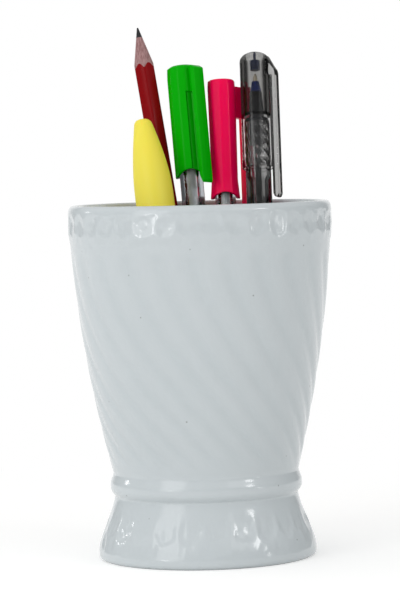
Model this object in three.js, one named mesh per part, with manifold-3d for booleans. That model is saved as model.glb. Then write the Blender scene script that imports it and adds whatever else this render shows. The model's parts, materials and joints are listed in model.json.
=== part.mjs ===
// A ceramic pen holder cup with twisted flutes, holding a pencil, a highlighter and three capped
// pens. Millimetres, +Z up, origin on the table in the middle of the foot; the front faces -Y.

import * as THREE from 'three';
import { mergeVertices } from 'three/addons/utils/BufferGeometryUtils.js';
import Module from 'manifold-3d';

const wasm = await Module();
wasm.setup();

// Fits and counts that several pieces share
const touchGap = 0.3;      // between pieces that rest on or sit in each other
const slideGap = 0.35;     // all round what slides in a cap
const cutOverrun = 1;      // how far a cutting body stands past what it cuts
const sides = { cup: 72, cupInside: 36, oval: 24, cap: 20, barrel: 16, small: 12 };

// The cup: one slip-cast and glazed shell on a hollow foot
const cup = {
  height: 124,
  rimRadius: 46,
  wall: 4,
  lipRound: 2.4,
  bandHeight: 14.6,        // upright band under the lip
  bandStep: 0.6,           // how far the band stands out from the body
  bodyBowShare: 0.58,      // how far the body bows out between neck and band
  neckHeight: 30,
  neckRadius: 32.5,
  beadHeight: 25,
  beadRadius: 33.4,
  grooveHeight: 20,
  grooveRadius: 32.2,
  flareHeight: 3.2,        // top of the rounded edge of the foot
  footRadius: 38.2,
  edgeRound: 1.3,
  ringWidth: 3.6,          // flat ring that the cup stands on
  floorTop: 30,
  floorThickness: 4.5,
  floorRound: 4,
  flutes: 24,
  fluteDepth: 0.6,
  fluteStart: 10.3,        // degrees, the first groove under the band
  fluteTwist: 78,          // degrees, from the band down to the neck
  fluteTwistPower: 1.65,   // the flutes leave the band upright and lie over lower down
  bandLobes: 36,
  bandLobeDepth: 0.3,
  footLobes: 24,
  footLobeDepth: 0.5,
  lobeSharpness: 1.5,      // more makes the grooves narrower and the backs between them broader
};

const pencil = {
  length: 160,
  acrossFlats: 7,
  leadRadius: 1.1,
  coneLength: 16,
  tipRadius: 0.25,
};

// Two ball pens of one pattern: a clear barrel, a plug in the tail, a pull-off cap with a clip
const greenPen = {
  length: 144.7, barrelRadius: 4.2, barrelWall: 1.1,
  plugHead: 3, plugSpigot: 6, tailRound: 1.2,
  noseLength: 13, noseSpigot: 8, noseEndRadius: 1.5, pointLength: 2.8, pointRadius: 0.8, ballRadius: 0.35,
  tubeRadius: 1.6, tubeWall: 0.4, tubeShort: 9, inkShare: 0.86,
  capLength: 42.6, capWall: 1.25, capTop: 1.6, capSides: 12, capTopRound: 1, tipRoom: 1.8,
  capTopGrow: 0, capMouthGrow: 0, mouthFlare: 5, mouthArc: 2.4,
  clipWidth: 4.6, clipThickness: 2, clipStandOff: 1.3, clipRootTop: 0.8, clipRoot: 9.6, clipReach: 43,
  clipShoulder: 0.6, clipTipSlant: 2.4, clipAngle: -50,
};
const pinkPen = {
  length: 138.3, barrelRadius: 3.75, barrelWall: 1,
  plugHead: 3, plugSpigot: 6, tailRound: 1.2,
  noseLength: 12, noseSpigot: 8, noseEndRadius: 1.4, pointLength: 2.8, pointRadius: 0.8, ballRadius: 0.35,
  tubeRadius: 1.5, tubeWall: 0.4, tubeShort: 9, inkShare: 0.8,
  capLength: 43.4, capWall: 0.8, capTop: 1.6, capSides: sides.cap, capTopRound: 1, tipRoom: 1.8,
  capTopGrow: 0.3, capMouthGrow: 0.6, mouthFlare: 5, mouthArc: 2,
  clipWidth: 4, clipThickness: 2.3, clipStandOff: 2.9, clipRootTop: 2.2, clipRoot: 11.5, clipReach: 46.6,
  clipShoulder: 0.4, clipTipSlant: 0.8, clipPastGelPen: 41,
};

// A gel pen with a rubber grip, a stepped nose and a clear smoke-coloured cap
const gelPen = {
  length: 150, barrelRadius: 4.6, barrelWall: 1, tailRound: 1.4,
  plugHead: 3.5, plugSpigot: 6,
  gripLength: 19, gripThickness: 0.9, neckWall: 0.5, neckLead: 2,
  noseRadius: 1.95, noseLength: 8.2, noseSpigot: 9, noseFlange: 1.2,
  holderLength: 4, holderRadius: 1.65, holderEndRadius: 1.15, holderShank: 5, holderShankRadius: 1.2,
  pointLength: 3, pointShank: 2.4, pointRadius: 0.55, ballRadius: 0.3,
  tubeRadius: 1.8, tubeWall: 0.4, tubeShort: 12, inkShare: 0.9,
  capLength: 43, capWall: 0.55, capTop: 1.2, capSides: sides.cap, domeHeight: 3.6,
  mouthRing: 2.8, mouthRingStep: 0.25,
  sealLength: 6.4, sealRadius: 1.7, sealFlange: 1.1, sealFlangeRadius: 2.2,
  clipWidth: 4, clipThickness: 2.2, clipStandOff: 1.1, clipRootTop: 2.2, clipRoot: 7, clipReach: 54.5,
  clipShoulder: 4.2, clipTipSlant: 0, clipAngle: -30,
};

// A highlighter that stands on its cap, its rounded tail up
const highlighter = {
  length: 126.6, capLength: 38, capWall: 1.4, capFloor: 1.8, capGrow: 1.1, capRound: 2,
  halfWidth: 7.05, halfDepth: 6.6, wall: 1.3, cornerPower: 1.75,
  taperLength: 28, tailHalfShare: 0.42, tailShift: 0.9, tailRound: 1.8, tailInset: 1.26,
  sectionRadius: 5, sectionNose: 9, sectionNoseRadius: 3.1, sectionSpigot: 7, spigotEase: 0.35,
  nibRadius: 2, nibLength: 6.5, nibSlant: 3, nibRoom: 2.2, nibShank: 18,
  reservoirRadius: 3.6, reservoirLength: 62,
};

// Where the tools stand. Angles are in degrees round from +X; gaps are between neighbours' sides
const stand = {
  leanGap: 0.5,            // between the pencil and the rim that it leans on
  pencilFootAngle: 83.3, pencilFootShare: 0.8, pencilRimAngle: 107.9,
  greenFootAngle: -80.3, greenFootGap: 0.7, greenRimAngle: -29.8, greenRimGap: 1.1,
  pinkFootAngle: 39.6, pinkFootGap: 1, pinkRimAngle: 7.7, pinkRimGap: 0.7,
  gelFootAngle: 10.2, gelFootGap: 2.3, gelRimAngle: -26.4, gelRimGap: 2.8,
  highlighterFootAngle: -120.2, highlighterFootGap: 7.3,
  highlighterRimAngle: -104.7, highlighterRimGap: 5.4,
};

const tau = 2 * Math.PI;
const radians = THREE.MathUtils.degToRad;
const lerp = THREE.MathUtils.lerp;
const smooth = THREE.MathUtils.smoothstep;

function material(color, roughness, metalness = 0, opacity = 1) {
  return new THREE.MeshStandardMaterial({ color, roughness, metalness, opacity, transparent: opacity < 1 });
}

function piece(name, geometry, finish) {
  const mesh = new THREE.Mesh(geometry, finish);
  mesh.name = name;
  return mesh;
}

// Turns an outline of [radius, height] pairs round +Z. The solid lies on the outline's left.
function turned(outline, count) {
  const points = outline.map(([radius, height]) => new THREE.Vector2(radius, height));
  return new THREE.LatheGeometry(points, count).rotateX(Math.PI / 2);
}

function solidOf(geometry) {
  const bare = geometry.clone();
  bare.deleteAttribute('normal');
  bare.deleteAttribute('uv');
  const closed = mergeVertices(bare);
  return new wasm.Manifold(new wasm.Mesh({
    numProp: 3,
    vertProperties: Float32Array.from(closed.attributes.position.array),
    triVerts: Uint32Array.from(closed.index.array),
  }));
}

function geometryOf(solid) {
  const mesh = solid.getMesh();
  const geometry = new THREE.BufferGeometry();
  geometry.setAttribute('position', new THREE.BufferAttribute(mesh.vertProperties, 3));
  geometry.setIndex(new THREE.BufferAttribute(mesh.triVerts, 1));
  geometry.computeVertexNormals();
  return geometry;
}

// Joins rings of points into one closed body, from the pole that starts the list to the one that
// ends it. Rings run anticlockwise seen from above, and may have different counts.
function ringBody(startPole, rings, endPole) {
  const positions = [...startPole];
  const starts = [];
  for (const ring of rings) {
    starts.push(positions.length / 3);
    for (const point of ring) positions.push(...point);
  }
  const end = positions.length / 3;
  positions.push(...endPole);
  const index = [];
  const at = (row, j) => starts[row] + (j % rings[row].length);
  const last = rings.length - 1;
  rings[0].forEach((_, j) => index.push(0, at(0, j + 1), at(0, j)));
  for (let row = 1; row <= last; row += 1) {
    const below = rings[row - 1].length;
    const above = rings[row].length;
    let i = 0;
    let j = 0;
    while (i < below || j < above) {
      if ((i + 1) * above <= (j + 1) * below) {
        index.push(at(row - 1, i), at(row - 1, i + 1), at(row, j));
        i += 1;
      } else {
        index.push(at(row - 1, i), at(row, j + 1), at(row, j));
        j += 1;
      }
    }
  }
  rings[last].forEach((_, j) => index.push(at(last, j), at(last, j + 1), end));
  const geometry = new THREE.BufferGeometry();
  geometry.setAttribute('position', new THREE.Float32BufferAttribute(positions, 3));
  geometry.setIndex(index);
  geometry.computeVertexNormals();
  return geometry;
}

// Cup

const bandBottom = cup.height - cup.bandHeight;
const bandBottomRadius = cup.rimRadius - cup.bandStep;

// The outer radius at a height, without flutes and lobes
function cupRadius(height) {
  const mix = (low, high, lowRadius, highRadius) => {
    const share = (height - low) / (high - low);
    return lerp(lowRadius, highRadius, (share + smooth(share, 0, 1)) / 2);
  };
  if (height <= cup.flareHeight) {
    const drop = 1 - height / cup.flareHeight;
    return cup.footRadius - cup.edgeRound * drop * drop * drop;
  }
  if (height <= cup.grooveHeight) {
    return mix(cup.flareHeight, cup.grooveHeight, cup.footRadius, cup.grooveRadius);
  }
  if (height <= cup.beadHeight) {
    return lerp(cup.grooveRadius, cup.beadRadius, smooth(height, cup.grooveHeight, cup.beadHeight));
  }
  if (height <= cup.neckHeight) {
    return lerp(cup.beadRadius, cup.neckRadius, smooth(height, cup.beadHeight, cup.neckHeight));
  }
  if (height <= bandBottom) {
    const share = (height - cup.neckHeight) / (bandBottom - cup.neckHeight);
    const bowed = share + cup.bodyBowShare * share * (1 - share);
    return lerp(cup.neckRadius, bandBottomRadius, bowed);
  }
  return lerp(bandBottomRadius, cup.rimRadius, smooth(height, bandBottom, bandBottom + cup.lipRound));
}

// How far the flutes have turned at a height, in radians
function fluteTurn(height) {
  const share = THREE.MathUtils.clamp((bandBottom - height) / (bandBottom - cup.neckHeight), 0, 1);
  return radians(cup.fluteStart + cup.fluteTwist * share ** cup.fluteTwistPower);
}

// Flutes and lobes are round-backed with narrow grooves between them: 0 on the back, -1 in a groove
function lobeWave(count, turnShare) {
  return -(((1 + Math.cos(tau * count * turnShare)) / 2) ** cup.lobeSharpness);
}

function cupRelief(height, turnShare) {
  const fluteEnd = 2 * cup.lipRound;
  const flute = cup.fluteDepth * smooth(height, cup.neckHeight, cup.neckHeight + 2 * fluteEnd)
    * (1 - smooth(height, bandBottom - fluteEnd, bandBottom));
  const lobeEnd = cup.lipRound;
  const lobeTop = cup.height - cup.lipRound;
  const lobe = cup.bandLobeDepth * smooth(height, bandBottom, bandBottom + 2 * lobeEnd)
    * (1 - smooth(height, lobeTop - 2 * lobeEnd, lobeTop));
  const footTop = cup.grooveHeight - cup.edgeRound;
  const footLobe = cup.footLobeDepth * smooth(height, cup.flareHeight, 2 * cup.flareHeight)
    * (1 - smooth(height, lerp(cup.flareHeight, footTop, 1 / 2), footTop));
  return flute * lobeWave(cup.flutes, turnShare) + lobe * lobeWave(cup.bandLobes, turnShare)
    + footLobe * lobeWave(cup.footLobes, turnShare);
}

function cupRing(radius, height, turn, count, relief = 0) {
  const ring = [];
  for (let j = 0; j < count; j += 1) {
    const angle = turn + tau * j / count;
    const r = radius + (relief === 0 ? 0 : relief(height, j / count));
    ring.push([r * Math.cos(angle), r * Math.sin(angle), height]);
  }
  return ring;
}

function makeCup() {
  const footTurn = fluteTurn(0);
  const topTurn = fluteTurn(cup.height);
  const ceiling = cup.floorTop - cup.floorThickness;
  const inner = (height) => cupRadius(Math.min(height, cup.height)) - cup.wall;
  const rings = [];

  // underside of the floor, then down the inside of the hollow foot
  rings.push(cupRing(inner(ceiling) - cup.floorRound, ceiling, footTurn, sides.cupInside));
  rings.push(cupRing(inner(ceiling), ceiling - cup.floorRound, footTurn, sides.cupInside));
  for (const height of [cup.grooveHeight - cup.floorRound, 3 * cup.flareHeight]) {
    rings.push(cupRing(inner(height), height, footTurn, sides.cupInside));
  }
  const ringOuter = cup.footRadius - cup.edgeRound;
  rings.push(cupRing(ringOuter - cup.ringWidth, 0, footTurn, sides.cupInside));

  // outside, from the flat ring up to the lip
  const heights = [0];
  const climb = (top, steps) => {
    const from = heights[heights.length - 1];
    for (let k = 1; k <= steps; k += 1) heights.push(lerp(from, top, k / steps));
  };
  climb(cup.flareHeight, 2);
  climb(cup.grooveHeight, 7);
  climb(cup.beadHeight, 2);
  climb(cup.neckHeight, 2);
  climb(bandBottom, 15);
  climb(cup.height - cup.lipRound, 6);
  for (const height of heights) {
    rings.push(cupRing(cupRadius(height), height, fluteTurn(height), sides.cup, cupRelief));
  }

  // over the lip
  const half = cup.wall / 2;
  const lipSteps = 4;
  for (let k = 1; k <= lipSteps; k += 1) {
    const angle = Math.PI * k / lipSteps;
    const radius = cup.rimRadius - half + half * Math.cos(angle);
    const height = cup.height - cup.lipRound + cup.lipRound * Math.sin(angle);
    rings.push(cupRing(radius, height, topTurn, sides.cup));
  }

  // down the inside and across the floor
  const insideSteps = 6;
  for (let k = 1; k <= insideSteps; k += 1) {
    const height = lerp(bandBottom, cup.floorTop + cup.floorRound, (k - 1) / (insideSteps - 1));
    rings.push(cupRing(inner(height), height, topTurn, sides.cupInside));
  }
  const bowlRadius = inner(cup.floorTop + cup.floorRound);
  const roundSteps = 3;
  for (let k = 1; k <= roundSteps; k += 1) {
    const angle = Math.PI / 2 * k / roundSteps;
    const radius = bowlRadius - cup.floorRound * (1 - Math.cos(angle));
    const height = cup.floorTop + cup.floorRound * (1 - Math.sin(angle));
    rings.push(cupRing(radius, height, topTurn, sides.cupInside));
  }
  return ringBody([0, 0, ceiling], rings, [0, 0, cup.floorTop]);
}

const glaze = material(0xc3cbce, 0.18);

// Pencil

function makePencilCasing() {
  const cornerRadius = pencil.acrossFlats / 2 / Math.cos(Math.PI / 6);
  const hexagon = new THREE.CylinderGeometry(cornerRadius, cornerRadius, pencil.length, 6)
    .rotateX(Math.PI / 2).translate(0, 0, pencil.length / 2);
  const bore = turned([
    [0, -cutOverrun],
    [pencil.leadRadius + touchGap, -cutOverrun],
    [pencil.leadRadius + touchGap, pencil.length + cutOverrun],
    [0, pencil.length + cutOverrun],
  ], sides.small);
  return geometryOf(solidOf(hexagon).intersect(sharpener(cornerRadius)).subtract(solidOf(bore)));
}

// A body that leaves what a sharpener leaves: a shaft with a cone that ends at the pencil's tip
function sharpener(cornerRadius) {
  const slope = (cornerRadius - pencil.tipRadius) / pencil.coneLength;
  const shaftTop = pencil.length - pencil.coneLength;
  return solidOf(turned([
    [0, -cutOverrun],
    [cornerRadius + slope * cutOverrun, -cutOverrun],
    [cornerRadius + slope * cutOverrun, shaftTop - cutOverrun],
    [pencil.tipRadius, pencil.length],
    [0, pencil.length],
  ], sides.barrel + sides.oval));
}

function makePencilLead() {
  const cornerRadius = pencil.acrossFlats / 2 / Math.cos(Math.PI / 6);
  const rod = turned([
    [0, 0],
    [pencil.leadRadius, 0],
    [pencil.leadRadius, pencil.length],
    [0, pencil.length],
  ], sides.small);
  return geometryOf(solidOf(rod).intersect(sharpener(cornerRadius)));
}

// Pens: every height in a pen is measured along it from the end of its tail

const capBore = (pen) => pen.barrelRadius + slideGap;
const capRadius = (pen) => capBore(pen) + pen.capWall;
const capMouth = (pen) => pen.length - pen.capLength;
const pointTip = (pen) => pen.length - pen.capTop - pen.tipRoom;

function makeTube(outer, wall, from, to, count) {
  const bore = outer - wall;
  return turned([[bore, from], [outer, from], [outer, to], [bore, to], [bore, from]], count);
}

function makeRod(radius, from, to, count) {
  return turned([[0, from], [radius, from], [radius, to], [0, to]], count);
}

// A plug with a rounded head, pushed into the open tail of a barrel
function makeTailPlug(pen) {
  const bore = pen.barrelRadius - pen.barrelWall;
  const flat = pen.barrelRadius - pen.tailRound;
  const corner = pen.tailRound * (1 - Math.SQRT1_2);
  return turned([
    [0, 0], [flat, 0], [pen.barrelRadius - corner, corner], [pen.barrelRadius, pen.tailRound],
    [pen.barrelRadius, pen.plugHead], [bore - touchGap, pen.plugHead],
    [bore - touchGap, pen.plugHead + pen.plugSpigot], [0, pen.plugHead + pen.plugSpigot],
  ], sides.barrel);
}

// The flat clip of a cap: a side outline of [distance from the pen's axis, height], cut across
function makeClip(pen, rootInner, capTopHeight) {
  const inner = capRadius(pen) + pen.clipStandOff;
  const outer = inner + pen.clipThickness;
  const top = capTopHeight - pen.clipRootTop;
  const tip = capTopHeight - pen.clipReach;
  const nose = pen.clipThickness / 2;
  const outline = new THREE.Shape([
    [rootInner, top - pen.clipRoot], [inner, top - pen.clipRoot], [inner, tip + nose + pen.clipTipSlant],
    [inner + nose / 2, tip + pen.clipTipSlant], [outer - nose / 2, tip], [outer, tip + nose],
    [outer, top - nose - pen.clipShoulder], [outer - nose, top - pen.clipShoulder], [rootInner, top],
  ].map(([x, y]) => new THREE.Vector2(x, y)));
  return new THREE.ExtrudeGeometry(outline, { depth: pen.clipWidth, bevelEnabled: false, steps: 1 })
    .rotateX(Math.PI / 2).translate(0, pen.clipWidth / 2, 0);
}

// The mouth of a cap dips at its two sides and arches up at the front and the back
function archMouth(geometry, pen, clipAngle) {
  const position = geometry.attributes.position;
  for (let i = 0; i < position.count; i += 1) {
    if (position.getZ(i) < capMouth(pen) + pen.mouthFlare / 4) {
      const angle = Math.atan2(position.getY(i), position.getX(i)) + radians(clipAngle);
      position.setZ(i, position.getZ(i) + pen.mouthArc * Math.sin(angle) ** 2);
    }
  }
  return geometry;
}

function makeCap(pen, clipAngle) {
  const bore = capBore(pen);
  const outer = capRadius(pen);
  const mouth = capMouth(pen);
  const top = pen.length;
  const round = pen.capTopRound;
  const shell = turned([
    [0, top - pen.capTop],
    [bore, top - pen.capTop],
    [bore, mouth + pen.mouthArc + pen.mouthFlare],
    [bore, mouth],
    [outer + pen.capMouthGrow, mouth],
    [outer + pen.capMouthGrow / 2, mouth + pen.mouthArc + pen.mouthFlare / 4],
    [outer, mouth + pen.mouthArc + pen.mouthFlare],
    [outer + pen.capTopGrow, top - 3 * round],
    [outer + pen.capTopGrow - round / 3, top - round],
    [outer + pen.capTopGrow - round, top],
    [0, top],
  ], pen.capSides);
  const clip = makeClip(pen, bore + pen.capWall / 2, top);
  return geometryOf(solidOf(archMouth(shell, pen, clipAngle)).add(solidOf(clip)));
}

// A stepped nose cone: a spigot in the barrel, a cone in the cap, and a bore for point and tube
function makeNoseCone(pen) {
  const spigot = pen.barrelRadius - pen.barrelWall - touchGap;
  const tip = pointTip(pen) - pen.pointLength;
  const front = tip - pen.noseLength;
  const pocket = pen.tubeRadius + touchGap;
  const throat = pen.pointRadius + touchGap;
  return turned([
    [pocket, front - pen.noseSpigot],
    [spigot, front - pen.noseSpigot],
    [spigot, front + touchGap],
    [pen.barrelRadius, front + touchGap],
    [pen.barrelRadius, front + pen.noseLength / 4],
    [pen.noseEndRadius, tip],
    [throat, tip],
    [throat, front],
    [pocket, front],
    [pocket, front - pen.noseSpigot],
  ], sides.barrel);
}

function makePoint(pen) {
  const tip = pointTip(pen);
  const shoulder = tip - pen.pointLength;
  const shank = shoulder - pen.noseLength / 2;
  return turned([
    [0, shank], [pen.pointRadius, shank], [pen.pointRadius, shoulder + touchGap],
    [pen.noseEndRadius, shoulder + touchGap], [pen.noseEndRadius, shoulder + 2 * touchGap],
    [pen.ballRadius, tip - pen.ballRadius], [pen.ballRadius / 2, tip], [0, tip],
  ], sides.small);
}

function penPieces(name, pen, clipAngle, colour, trim) {
  const nose = pointTip(pen) - pen.pointLength - pen.noseLength;
  const tubeFrom = pen.plugHead + pen.plugSpigot + pen.tubeShort;
  const tubeTo = nose - touchGap;
  const inkRadius = pen.tubeRadius - pen.tubeWall - touchGap;
  return [
    piece(`${name}_cap`, makeCap(pen, clipAngle), material(colour, 0.22)),
    piece(`${name}_barrel`, makeTube(pen.barrelRadius, pen.barrelWall, pen.plugHead + touchGap, nose,
      sides.barrel), material(0xd8dfe3, 0.08, 0, 0.35)),
    piece(`${name}_tail_plug`, makeTailPlug(pen), material(colour, 0.25)),
    piece(`${name}_nose_cone`, makeNoseCone(pen), material(trim, 0.3)),
    piece(`${name}_point`, makePoint(pen), material(0xb9a36a, 0.25, 1)),
    piece(`${name}_refill_tube`, makeTube(pen.tubeRadius, pen.tubeWall, tubeFrom, tubeTo, sides.small),
      material(0xe6e9ea, 0.2, 0, 0.5)),
    piece(`${name}_refill_ink`, makeRod(inkRadius, lerp(tubeTo, tubeFrom, pen.inkShare), tubeTo,
      sides.small), material(colour, 0.4)),
  ];
}

// Gel pen: the grip sits on a thinner neck of the barrel, and the nose cone's flange closes it

const gelPointTip = (pen) => pen.length - pen.capTop - touchGap - pen.sealLength - touchGap;

function makeGelCap(pen) {
  const bore = capBore(pen);
  const outer = capRadius(pen);
  const mouth = capMouth(pen);
  const spring = pen.length - pen.domeHeight;
  const outline = [
    [0, pen.length - pen.capTop],
    [pen.sealFlangeRadius + touchGap, pen.length - pen.capTop],
    [bore, spring],
    [bore, mouth],
    [outer + pen.mouthRingStep, mouth],
    [outer + pen.mouthRingStep, mouth + pen.mouthRing],
    [outer, mouth + pen.mouthRing],
  ];
  const domeSteps = 5;
  for (let k = 0; k <= domeSteps; k += 1) {
    const angle = Math.PI / 2 * k / domeSteps;
    const radius = k === domeSteps ? 0 : outer * Math.cos(angle);
    outline.push([radius, spring + pen.domeHeight * Math.sin(angle)]);
  }
  const clip = makeClip(pen, bore + pen.capWall / 2, pen.length);
  return geometryOf(solidOf(turned(outline, pen.capSides)).add(solidOf(clip)));
}

function makeCapSeal(pen) {
  const top = pen.length - pen.capTop - touchGap;
  const end = top - pen.sealLength;
  return turned([
    [0, end], [pen.sealRadius, end], [pen.sealRadius, top - pen.sealFlange],
    [pen.sealFlangeRadius, top - pen.sealFlange], [pen.sealFlangeRadius, top], [0, top],
  ], sides.small);
}

function makeGelBarrel(pen) {
  const bore = pen.barrelRadius - pen.barrelWall;
  const neck = pen.barrelRadius - pen.gripThickness - touchGap;
  const neckBore = neck - pen.neckWall;
  const front = gelFlange(pen) - touchGap;
  const step = gripEnd(pen) - touchGap;
  const from = pen.plugHead + touchGap;
  return turned([
    [bore, from], [pen.barrelRadius, from], [pen.barrelRadius, step], [neck, step], [neck, front],
    [neckBore, front], [neckBore, step - pen.neckLead], [bore, step - 2 * pen.neckLead], [bore, from],
  ], sides.barrel);
}

// Underside of the nose cone's flange, and the end of the grip towards the tail
const gelFlange = (pen) => gelPointTip(pen) - pen.pointLength - pen.holderLength - pen.noseLength - pen.noseFlange;
const gripEnd = (pen) => gelFlange(pen) - touchGap - pen.gripLength;

function makeGrip(pen) {
  const outer = pen.barrelRadius;
  const bore = outer - pen.gripThickness;
  const round = pen.gripThickness / 3;
  const top = gelFlange(pen) - touchGap;
  const end = gripEnd(pen);
  return turned([
    [bore, end], [outer - round, end], [outer, end + round], [outer, top - round], [outer - round, top],
    [bore, top], [bore, end],
  ], sides.barrel);
}

function makeGelNose(pen) {
  const neckBore = pen.barrelRadius - pen.gripThickness - touchGap - pen.neckWall;
  const spigot = neckBore - touchGap;
  const pocket = pen.tubeRadius + touchGap;
  const throat = pen.holderShankRadius + touchGap;
  const flange = gelFlange(pen);
  const nose = flange + pen.noseFlange;
  const tip = nose + pen.noseLength;
  return turned([
    [pocket, flange - pen.noseSpigot], [spigot, flange - pen.noseSpigot], [spigot, flange],
    [pen.barrelRadius, flange], [pen.barrelRadius - pen.noseFlange / 2, nose], [pen.noseRadius, nose],
    [pen.noseRadius, tip], [throat, tip], [throat, nose], [pocket, nose - pen.noseFlange],
    [pocket, flange - pen.noseSpigot],
  ], sides.barrel);
}

function makeTipHolder(pen) {
  const top = gelPointTip(pen) - pen.pointLength;
  const seat = top - pen.holderLength + touchGap;
  const bore = pen.pointRadius + touchGap;
  const floor = top - pen.pointShank - touchGap;
  return turned([
    [0, seat - pen.holderShank], [pen.holderShankRadius, seat - pen.holderShank],
    [pen.holderShankRadius, seat], [pen.holderRadius, seat], [pen.holderEndRadius, top], [bore, top],
    [bore, floor], [0, floor],
  ], sides.small);
}

function makeGelPoint(pen) {
  const tip = gelPointTip(pen);
  const shank = tip - pen.pointLength - pen.pointShank;
  return turned([
    [0, shank], [pen.pointRadius, shank], [pen.pointRadius, tip - pen.pointLength / 2],
    [pen.ballRadius, tip - pen.ballRadius], [pen.ballRadius / 2, tip], [0, tip],
  ], sides.small);
}

function gelPieces(name, pen) {
  const tubeFrom = pen.plugHead + pen.plugSpigot + pen.tubeShort;
  const tubeTo = gelFlange(pen) - touchGap;
  const inkRadius = pen.tubeRadius - pen.tubeWall - touchGap;
  return [
    piece(`${name}_cap`, makeGelCap(pen), material(0x6a6a66, 0.1, 0, 0.4)),
    piece(`${name}_cap_seal`, makeCapSeal(pen), material(0x16264a, 0.5)),
    piece(`${name}_barrel`, makeGelBarrel(pen), material(0x8a8c8c, 0.1, 0, 0.45)),
    piece(`${name}_grip`, makeGrip(pen), material(0x1b1b1d, 0.6)),
    piece(`${name}_nose_cone`, makeGelNose(pen), material(0x1c1f26, 0.3)),
    piece(`${name}_tip_holder`, makeTipHolder(pen), material(0x1d3f86, 0.3)),
    piece(`${name}_point`, makeGelPoint(pen), material(0xc9c2b0, 0.22, 1)),
    piece(`${name}_tail_plug`, makeTailPlug(pen), material(0x2a2b2d, 0.3)),
    piece(`${name}_refill_tube`, makeTube(pen.tubeRadius, pen.tubeWall, tubeFrom, tubeTo, sides.small),
      material(0xdfe3e6, 0.2, 0, 0.5)),
    piece(`${name}_refill_ink`, makeRod(inkRadius, lerp(tubeTo, tubeFrom, pen.inkShare), tubeTo,
      sides.small), material(0x141a3c, 0.4)),
  ];
}

// Highlighter

// A ring of rounded lozenge outline, its blunt corners to the front, back and sides
function ovalRing(halfWidth, halfDepth, height, shift = 0) {
  const ring = [];
  for (let j = 0; j < sides.oval; j += 1) {
    const angle = tau * j / sides.oval;
    const across = Math.abs(Math.cos(angle) / halfWidth) ** highlighter.cornerPower;
    const deep = Math.abs(Math.sin(angle) / halfDepth) ** highlighter.cornerPower;
    const radius = (across + deep) ** (-1 / highlighter.cornerPower);
    ring.push([radius * Math.cos(angle) + shift, radius * Math.sin(angle), height]);
  }
  return ring;
}

// How much of its full width the barrel has at a height, towards its narrow tail
function tailShare(height) {
  const share = Math.min(1, (highlighter.length - height) / highlighter.taperLength);
  return lerp(highlighter.tailHalfShare, 1, Math.sin(Math.PI / 2 * share));
}

function makeHighlighterCap(pen) {
  const halfWidth = pen.halfWidth + pen.capGrow;
  const halfDepth = pen.halfDepth + pen.capGrow;
  const corner = pen.capRound * (1 - Math.SQRT1_2);
  const grow = (by, height) => ovalRing(halfWidth + by, halfDepth + by, height);
  return ringBody([0, 0, 0], [
    grow(-pen.capRound, 0),
    grow(-corner, corner),
    grow(0, pen.capRound),
    grow(0, pen.capLength),
    grow(-pen.capWall, pen.capLength),
    grow(-pen.capWall, pen.capFloor + corner),
    grow(-pen.capWall - corner, pen.capFloor),
  ], [0, 0, pen.capFloor]);
}

function makeHighlighterBarrel(pen) {
  const mouth = pen.capLength + touchGap;
  const taperFrom = pen.length - pen.taperLength;
  const shellRing = (height, inset, drop = 0) => {
    const share = tailShare(height);
    const shift = -pen.tailShift * (1 - share) / (1 - pen.tailHalfShare);
    return ovalRing(pen.halfWidth * share - inset, pen.halfDepth * share - inset, height - drop, shift);
  };
  const rings = [];
  const innerSteps = 3;
  for (let k = innerSteps; k >= 0; k -= 1) {
    const height = lerp(taperFrom, pen.length - pen.tailRound, k / innerSteps);
    rings.push(shellRing(height, pen.wall, pen.wall));
  }
  rings.push(shellRing(mouth, pen.wall));
  rings.push(shellRing(mouth, 0));
  const outerSteps = 6;
  for (let k = 0; k <= outerSteps; k += 1) {
    rings.push(shellRing(lerp(taperFrom, pen.length - pen.tailRound, k / outerSteps), 0));
  }
  const roundSteps = 3;
  for (let k = 1; k <= roundSteps; k += 1) {
    const angle = Math.PI / 2 * k / roundSteps;
    const height = pen.length - pen.tailRound + pen.tailRound * Math.sin(angle);
    rings.push(shellRing(height, pen.tailInset * (1 - Math.cos(angle))));
  }
  const ceiling = pen.length - pen.tailRound - pen.wall;
  return ringBody([-pen.tailShift, 0, ceiling], rings, [-pen.tailShift, 0, pen.length]);
}

const nibTip = (pen) => pen.capFloor + pen.nibRoom;
const nibTop = (pen) => nibTip(pen) + pen.nibLength + pen.nibShank;

function makeSection(pen) {
  const end = nibTip(pen) + pen.nibLength;
  const throat = pen.nibRadius + touchGap;
  const socket = pen.reservoirRadius + touchGap;
  const spigot = Math.min(pen.halfWidth, pen.halfDepth) - pen.wall - touchGap - pen.spigotEase;
  const top = pen.capLength + pen.sectionSpigot;
  return turned([
    [throat, end], [pen.sectionNoseRadius, end], [pen.sectionRadius, end + pen.sectionNose],
    [pen.sectionRadius, pen.capLength], [spigot, pen.capLength], [spigot, top], [socket, top],
    [socket, nibTop(pen)], [throat, nibTop(pen)], [throat, end],
  ], sides.barrel);
}

// A felt nib whose working end is cut on the slant
function makeNib(pen) {
  const tip = nibTip(pen);
  const nib = turned([
    [0, tip], [pen.nibRadius, tip], [pen.nibRadius, nibTop(pen)], [0, nibTop(pen)],
  ], sides.small);
  const position = nib.attributes.position;
  for (let i = 0; i < position.count; i += 1) {
    if (position.getZ(i) < tip + pen.nibLength / 2) {
      const rise = pen.nibSlant * (1 + position.getX(i) / pen.nibRadius) / 2;
      position.setZ(i, position.getZ(i) + rise);
    }
  }
  nib.computeVertexNormals();
  return nib;
}

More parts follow.
